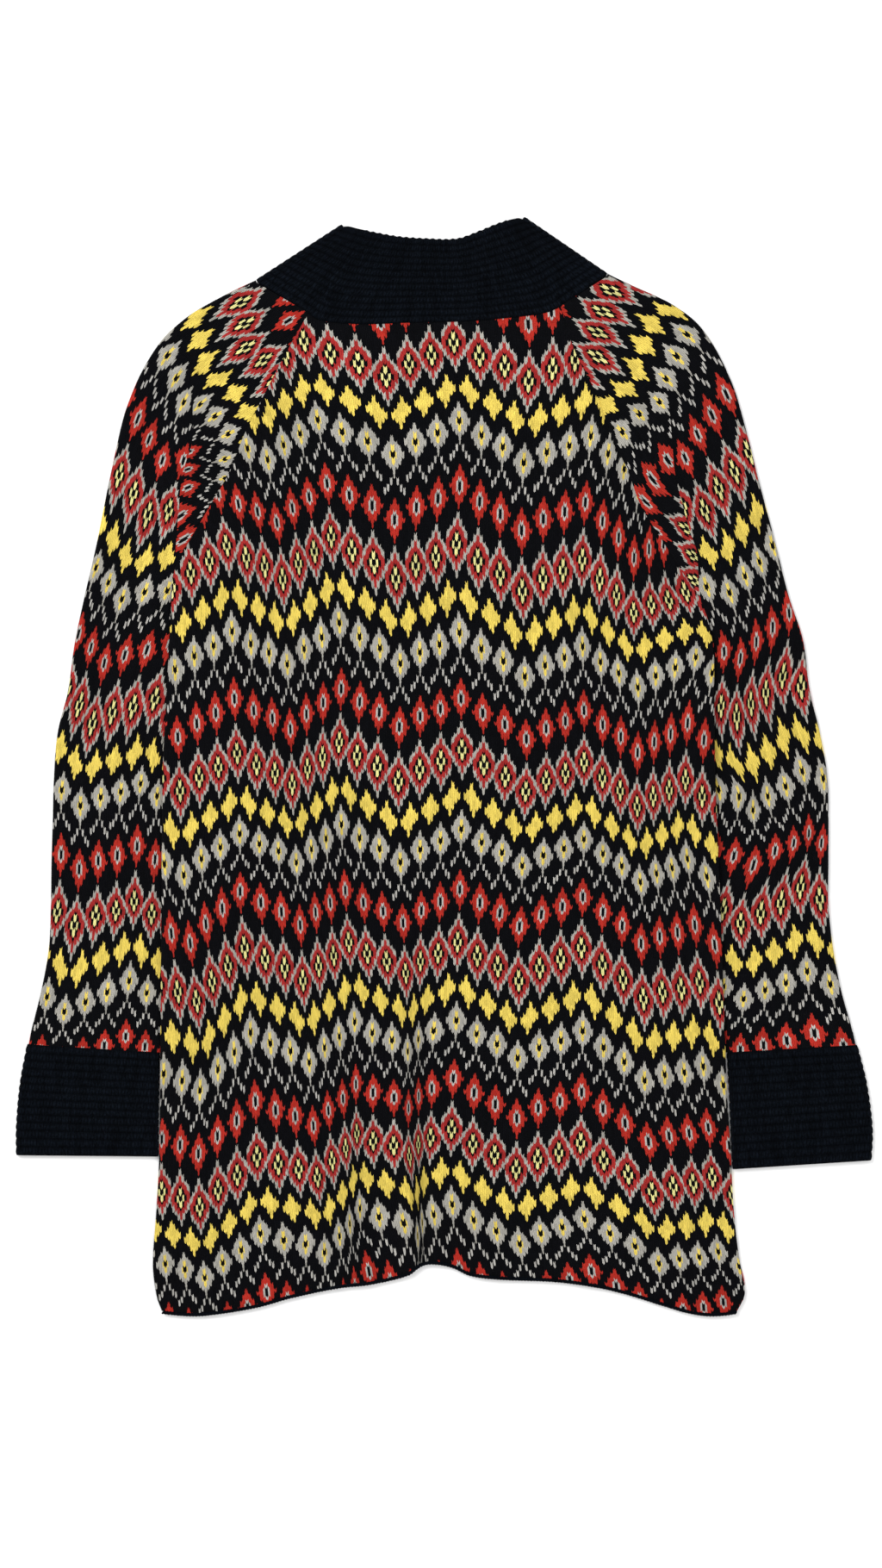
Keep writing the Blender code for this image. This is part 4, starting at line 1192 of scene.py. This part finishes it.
def rib_group(name):
    """Raises knitted ridges: round across, with a lobe for each stitch along, as high as "shown" says."""
    tree, inside, out = geometry_group(name, {"Height": 0.001, "Lobe Depth": 0.25})

    def attribute(label, kind):
        node = add(tree, "GeometryNodeInputNamedAttribute", {"Name": label}, data_type=kind)
        return Wire(node, "Attribute")

    along, ridge = x_and_y(attribute("stitch", "FLOAT_VECTOR"))
    crown = abs((ridge * math.pi).sine()).power(0.7)
    side = (ridge * 2.0).floor().wrap(2.0)
    lobe = ((along + side * 0.5) * (2 * math.pi)).cosine() * 0.5 + 0.5
    height = inside["Height"] * attribute("shown", "FLOAT")
    height = height * crown * (lobe * inside["Lobe Depth"] * -1.0 + 1.0)
    offset = scaled(Wire(tree.nodes.new("GeometryNodeInputNormal")), height)
    move = {"Geometry": inside["Geometry"], "Offset": offset}
    return finished(tree, offset.into("GeometryNodeSetPosition", move), inside, out)


def raise_ribs(obj, settings):
    """Raises the ribs that the points' attributes describe, and drops the attributes."""
    material = once(bpy.data.materials, "rib_knit", rib_material)
    values = {"Height": settings.rib_height * MM, "Lobe Depth": settings.lobe_depth, "Material": material}
    mesh = run_group(obj, "Knitted Ribs", rib_group, values)
    for name in ("stitch", "shown"):
        mesh.attributes.remove(mesh.attributes[name])
    obj.data = mesh
    mesh.name = obj.name


def edging_group(name):
    """A rolled edging on a curve: a core with slanting stitches laid round it one after another."""
    tree, inside, out = geometry_group(name, {"Radius": 0.0013, "Pitch": 0.0026, "Slant": 0.5, "Seed": 3})
    radius = inside["Radius"]

    def new(kind, inputs, **properties):
        return radius.into(kind, inputs, **properties)

    circle = new("GeometryNodeCurvePrimitiveCircle", {"Resolution": 16, "Radius": radius * EDGE_CORE})
    profile = new("GeometryNodeTransform", {"Geometry": circle, "Scale": (EDGE_WIDTH, 1, 1)})
    curve = new("GeometryNodeSetCurveNormal", {"Curve": inside["Geometry"]}, mode="Z_UP")
    core = new("GeometryNodeCurveToMesh", {"Curve": curve, "Profile Curve": profile, "Fill Caps": True})
    at = add(tree, "GeometryNodeCurveToPoints", {"Curve": curve, "Length": inside["Pitch"]}, mode="LENGTH")
    bead = new("GeometryNodeMeshIcoSphere", {"Subdivisions": 2, "Radius": radius})
    slant = new("FunctionNodeEulerToRotation", {"Euler": new("ShaderNodeCombineXYZ", {1: inside["Slant"]})})
    turn = {"Rotation": Wire(at, "Rotation"), "Rotate By": slant}
    turn = new("FunctionNodeRotateRotation", turn, rotation_space="LOCAL")
    least, most = (0.93 * EDGE_WIDTH, 0.9, 0.75), (1.02 * EDGE_WIDTH, 1.08, 0.9)
    size = {"Min": least, "Max": most, "Seed": inside["Seed"]}
    size = new("FunctionNodeRandomValue", size, data_type="FLOAT_VECTOR")
    beads = {"Points": Wire(at), "Instance": bead, "Rotation": turn, "Scale": size}
    both = add(tree, "GeometryNodeJoinGeometry", {0: new("GeometryNodeInstanceOnPoints", beads)})
    join(both, {0: core})
    return finished(tree, Wire(both), inside, out)


def build_edgings():
    """The rolled edging of each hem: a curve with a point a stitch, run through the group."""
    left, right = (float(x) for x in through(BODY_EDGES, HEM_LINE))
    lines = (
        ("hem_edge_back", left + EDGE_ROOM, right - EDGE_ROOM, 0),
        ("hem_edge_front_left", left + EDGE_ROOM, BAND_SEAM[0] - EDGE_ROOM, FRONT_RISE),
        ("hem_edge_front_right", BAND_SEAM[1] + EDGE_ROOM, right - EDGE_ROOM, FRONT_RISE),
    )
    made = []
    for seed, (node, start, end, rise) in enumerate(lines):
        x = np.linspace(start, end, int((end - start) / STITCH))
        y = on(HEM, x) + rise + HEM_EDGE - EDGE_CENTRE
        low = 0 if rise else back_height(x, y)
        points = pack(x, y, low + EDGE_ROOM) * MM
        curve = bpy.data.curves.new(node, "CURVE")
        curve.dimensions = "3D"
        spline = curve.splines.new("POLY")
        spline.points.add(len(points) - 1)
        spline.points.foreach_set("co", np.column_stack([points, np.ones(len(points))]).ravel())
        carrier = linked(node + "_path", curve)
        values = {
            "Radius": EDGE_RADIUS * MM, "Pitch": STITCH * MM, "Slant": EDGE_SLANT, "Seed": seed,
            "Material": once(bpy.data.materials, "rolled_knit", edging_material),
        }
        mesh = run_group(carrier, "Rolled Edging", edging_group, values)
        bpy.data.objects.remove(carrier)
        bpy.data.curves.remove(curve)
        mesh.name = node + "_roll"
        mesh.shade_smooth()
        made.append(finish_piece(linked(node + "_roll", mesh), node))
    return made


FLOOR_HALF = 3.0  # half the floor's width in metres
KEY_LIGHT = ((-1.3, 1.1, 2.2), 1.4)  # place and width in metres
FILL_LIGHT = ((1.2, -0.6, 2.6), 2.2)


def area_light(name, place, size, power):
    """A soft square light aimed at the origin."""
    lamp = bpy.data.lights.new(name, "AREA")
    lamp.shape = "SQUARE"
    lamp.size = size
    lamp.energy = power
    obj = linked(name, lamp)
    obj.location = place
    obj.rotation_euler = (-Vector(place)).to_track_quat("-Z", "Y").to_euler()


def build_stage(settings):
    """A pale floor, soft studio light and the camera straight above."""
    scene = bpy.context.scene
    mesh = bpy.data.meshes.new("floor")
    corners = [(FLOOR_HALF * x, FLOOR_HALF * y, 0) for x, y in ((-1, -1), (1, -1), (1, 1), (-1, 1))]
    mesh.from_pydata(corners, [], [(0, 1, 2, 3)])
    paper, _ = surface("pale_floor", {"Base Color": (*settings.floor, 1), "Roughness": 0.9})
    mesh.materials.append(paper)
    linked("floor", mesh)
    world = bpy.data.worlds.new("studio")
    world.use_nodes = True
    join(world.node_tree.nodes["Background"], {"Color": (1, 1, 1, 1), "Strength": settings.ambient})
    scene.world = world
    area_light("key_light", *KEY_LIGHT, settings.key_power)
    area_light("fill_light", *FILL_LIGHT, settings.fill_power)
    camera = bpy.data.cameras.new("camera")
    camera.type = "PERSP"
    camera.sensor_fit = "VERTICAL"
    camera.angle = 2 * math.atan(settings.view_height / 2 / settings.camera_height)
    camera.clip_end = 50
    scene.camera = linked("camera", camera)
    scene.camera.location = (*settings.view_centre, settings.camera_height)
    scene.view_settings.view_transform = "Standard"


def colour(name, description, default):
    return FloatVectorProperty(
        name=name, description=description, default=default, subtype="COLOR", size=3, min=0, max=1
    )


def count(name, description, default):
    return IntProperty(name=name, description=description, default=default, min=4)


def number(name, description, default, unit="NONE", least=0, most=100):
    return FloatProperty(
        name=name, description=description, default=default, unit=unit, min=least, max=most
    )


class CardiganSettings(bpy.types.PropertyGroup):
    """Sizes and colours of the cardigan."""

    ground: colour("Ground", "Yarn behind the lozenges", (0.003, 0.0032, 0.0045))
    grey: colour("Grey", "Yarn of the flowers and of the eyes' outlines", (0.48, 0.46, 0.41))
    crimson: colour("Crimson", "Yarn of the eyes' rings", (0.44, 0.032, 0.03))
    red: colour("Red", "Yarn of the red lozenges", (0.53, 0.033, 0.022))
    pale_grey: colour("Pale Grey", "Yarn of the lattice", (0.55, 0.53, 0.49))
    yellow: colour("Yellow", "Yarn of the yellow lozenges", (1.0, 0.76, 0.14))
    pale_yellow: colour("Pale Yellow", "Yarn of the eyes' spots", (0.95, 0.88, 0.35))
    rib: colour("Rib", "Yarn of collar, cuffs and edging", (0.002, 0.003, 0.005))
    floor: colour("Floor", "Colour of the floor", (0.93, 0.93, 0.93))
    stitch_relief: number("Stitch Relief", "Height of the yarn in a stitch", 0.0008, "LENGTH")
    rib_height: number("Rib Height", "Height of a ridge in millimetres", 1.0)
    lobe_depth: number("Lobe Depth", "Share of a ridge's height between two stitches", 0.35, most=1)
    collar_ribs: count("Collar Ribs", "Ridges across the collar", 13)
    cuff_ribs: count("Cuff Ribs", "Ridges down a cuff", 14)
    rib_steps: count("Rib Steps", "Stretches of the mesh across a ridge", 8)
    fold_steps: count("Fold Steps", "Stretches of the mesh round a fold", 10)
    back_columns: count("Back Columns", "Mesh columns across the back", 120)
    back_rows: count("Back Rows", "Mesh rows up to the underarms", 150)
    raglan_rows: count("Raglan Rows", "Mesh rows above the underarms", 56)
    front_columns: count("Front Columns", "Mesh columns across a front", 24)
    sleeve_rows: count("Sleeve Rows", "Mesh rows up to the underarm", 110)
    sleeve_columns: count("Sleeve Columns", "Mesh columns across a sleeve", 34)
    cuff_columns: count("Cuff Columns", "Mesh columns across a cuff", 100)
    band_rows: count("Band Rows", "Mesh rows up a front band", 110)
    turn_rows: count("Turn Rows", "Mesh rows beside the collar's fold", 22)
    neck_rows: count("Neck Rows", "Mesh rows along the back neck", 140)
    camera_height: number("Camera Height", "How far the camera stands above the floor", 4.0, "LENGTH", 1)
    view_height: number("View Height", "Height of the framed part of the floor", 1.2376, "LENGTH", 0.1)
    view_centre: FloatVectorProperty(
        name="View Centre", description="Point of the floor below the camera", default=(-0.0027, -0.0133),
        size=2, unit="LENGTH",
    )
    ambient: number("Ambient", "Strength of the light from all round", 0.67)
    key_power: number("Key Power", "Power of the key light", 60.0, "POWER", most=1000)
    fill_power: number("Fill Power", "Power of the fill light", 30.0, "POWER", most=1000)


class CARDIGAN_OT_back(bpy.types.Operator):
    """Builds the patterned back panel"""

    bl_idname = "cardigan.back"
    bl_label = "Build Back"

    def execute(self, context):
        build_back(context.scene.cardigan)
        return {"FINISHED"}


class CARDIGAN_OT_fronts(bpy.types.Operator):
    """Builds both front panels, which lie under the back"""

    bl_idname = "cardigan.fronts"
    bl_label = "Build Fronts"

    def execute(self, context):
        build_fronts(context.scene.cardigan)
        return {"FINISHED"}


class CARDIGAN_OT_sleeves(bpy.types.Operator):
    """Builds both raglan sleeves"""

    bl_idname = "cardigan.sleeves"
    bl_label = "Build Sleeves"

    def execute(self, context):
        for obj in build_sleeves(context.scene.cardigan):
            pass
        return {"FINISHED"}


class CARDIGAN_OT_cuffs(bpy.types.Operator):
    """Builds both ribbed cuffs"""

    bl_idname = "cardigan.cuffs"
    bl_label = "Build Cuffs"

    def execute(self, context):
        for obj in build_cuffs(context.scene.cardigan):
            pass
        return {"FINISHED"}


class CARDIGAN_OT_collar(bpy.types.Operator):
    """Builds the ribbed shawl collar with its front bands"""

    bl_idname = "cardigan.collar"
    bl_label = "Build Collar"

    def execute(self, context):
        obj = build_collar(context.scene.cardigan)
        return {"FINISHED"}


class CARDIGAN_OT_edgings(bpy.types.Operator):
    bl_idname = "cardigan.edgings"
    bl_label = "Build Edgings"

    def execute(self, context):
        back, left, right = build_edgings()
        return {"FINISHED"}


class CARDIGAN_OT_stage(bpy.types.Operator):
    """Sets up the floor, the light and the camera"""

    bl_idname = "cardigan.stage"
    bl_label = "Build Stage"

    def execute(self, context):
        build_stage(context.scene.cardigan)
        return {"FINISHED"}


class CARDIGAN_PT_panel(bpy.types.Panel):
    """Lists the cardigan's sizes, colours and pieces"""

    bl_label = "Cardigan"
    bl_idname = "CARDIGAN_PT_panel"
    bl_space_type = "VIEW_3D"
    bl_region_type = "UI"
    bl_category = "Cardigan"

    def draw(self, context):
        layout = self.layout
        for label in CardiganSettings.__annotations__:
            layout.prop(context.scene.cardigan, label)
        for operator in PIECES:
            layout.operator(operator.bl_idname)


PIECES = (
    CARDIGAN_OT_back,
    CARDIGAN_OT_fronts,
    CARDIGAN_OT_sleeves,
    CARDIGAN_OT_cuffs,
    CARDIGAN_OT_collar,
    CARDIGAN_OT_edgings,
    CARDIGAN_OT_stage,
)
CLASSES = (CardiganSettings, *PIECES, CARDIGAN_PT_panel)


def register():
    for cls in CLASSES:
        bpy.utils.register_class(cls)
    bpy.types.Scene.cardigan = PointerProperty(type=CardiganSettings)


def unregister():
    del bpy.types.Scene.cardigan
    for cls in reversed(CLASSES):
        bpy.utils.unregister_class(cls)


def main():
    register()
    bpy.ops.cardigan.back()
    bpy.ops.cardigan.fronts()
    bpy.ops.cardigan.sleeves()
    bpy.ops.cardigan.cuffs()
    bpy.ops.cardigan.collar()
    bpy.ops.cardigan.edgings()
    bpy.ops.cardigan.stage()


if __name__ == "__main__":
    main()
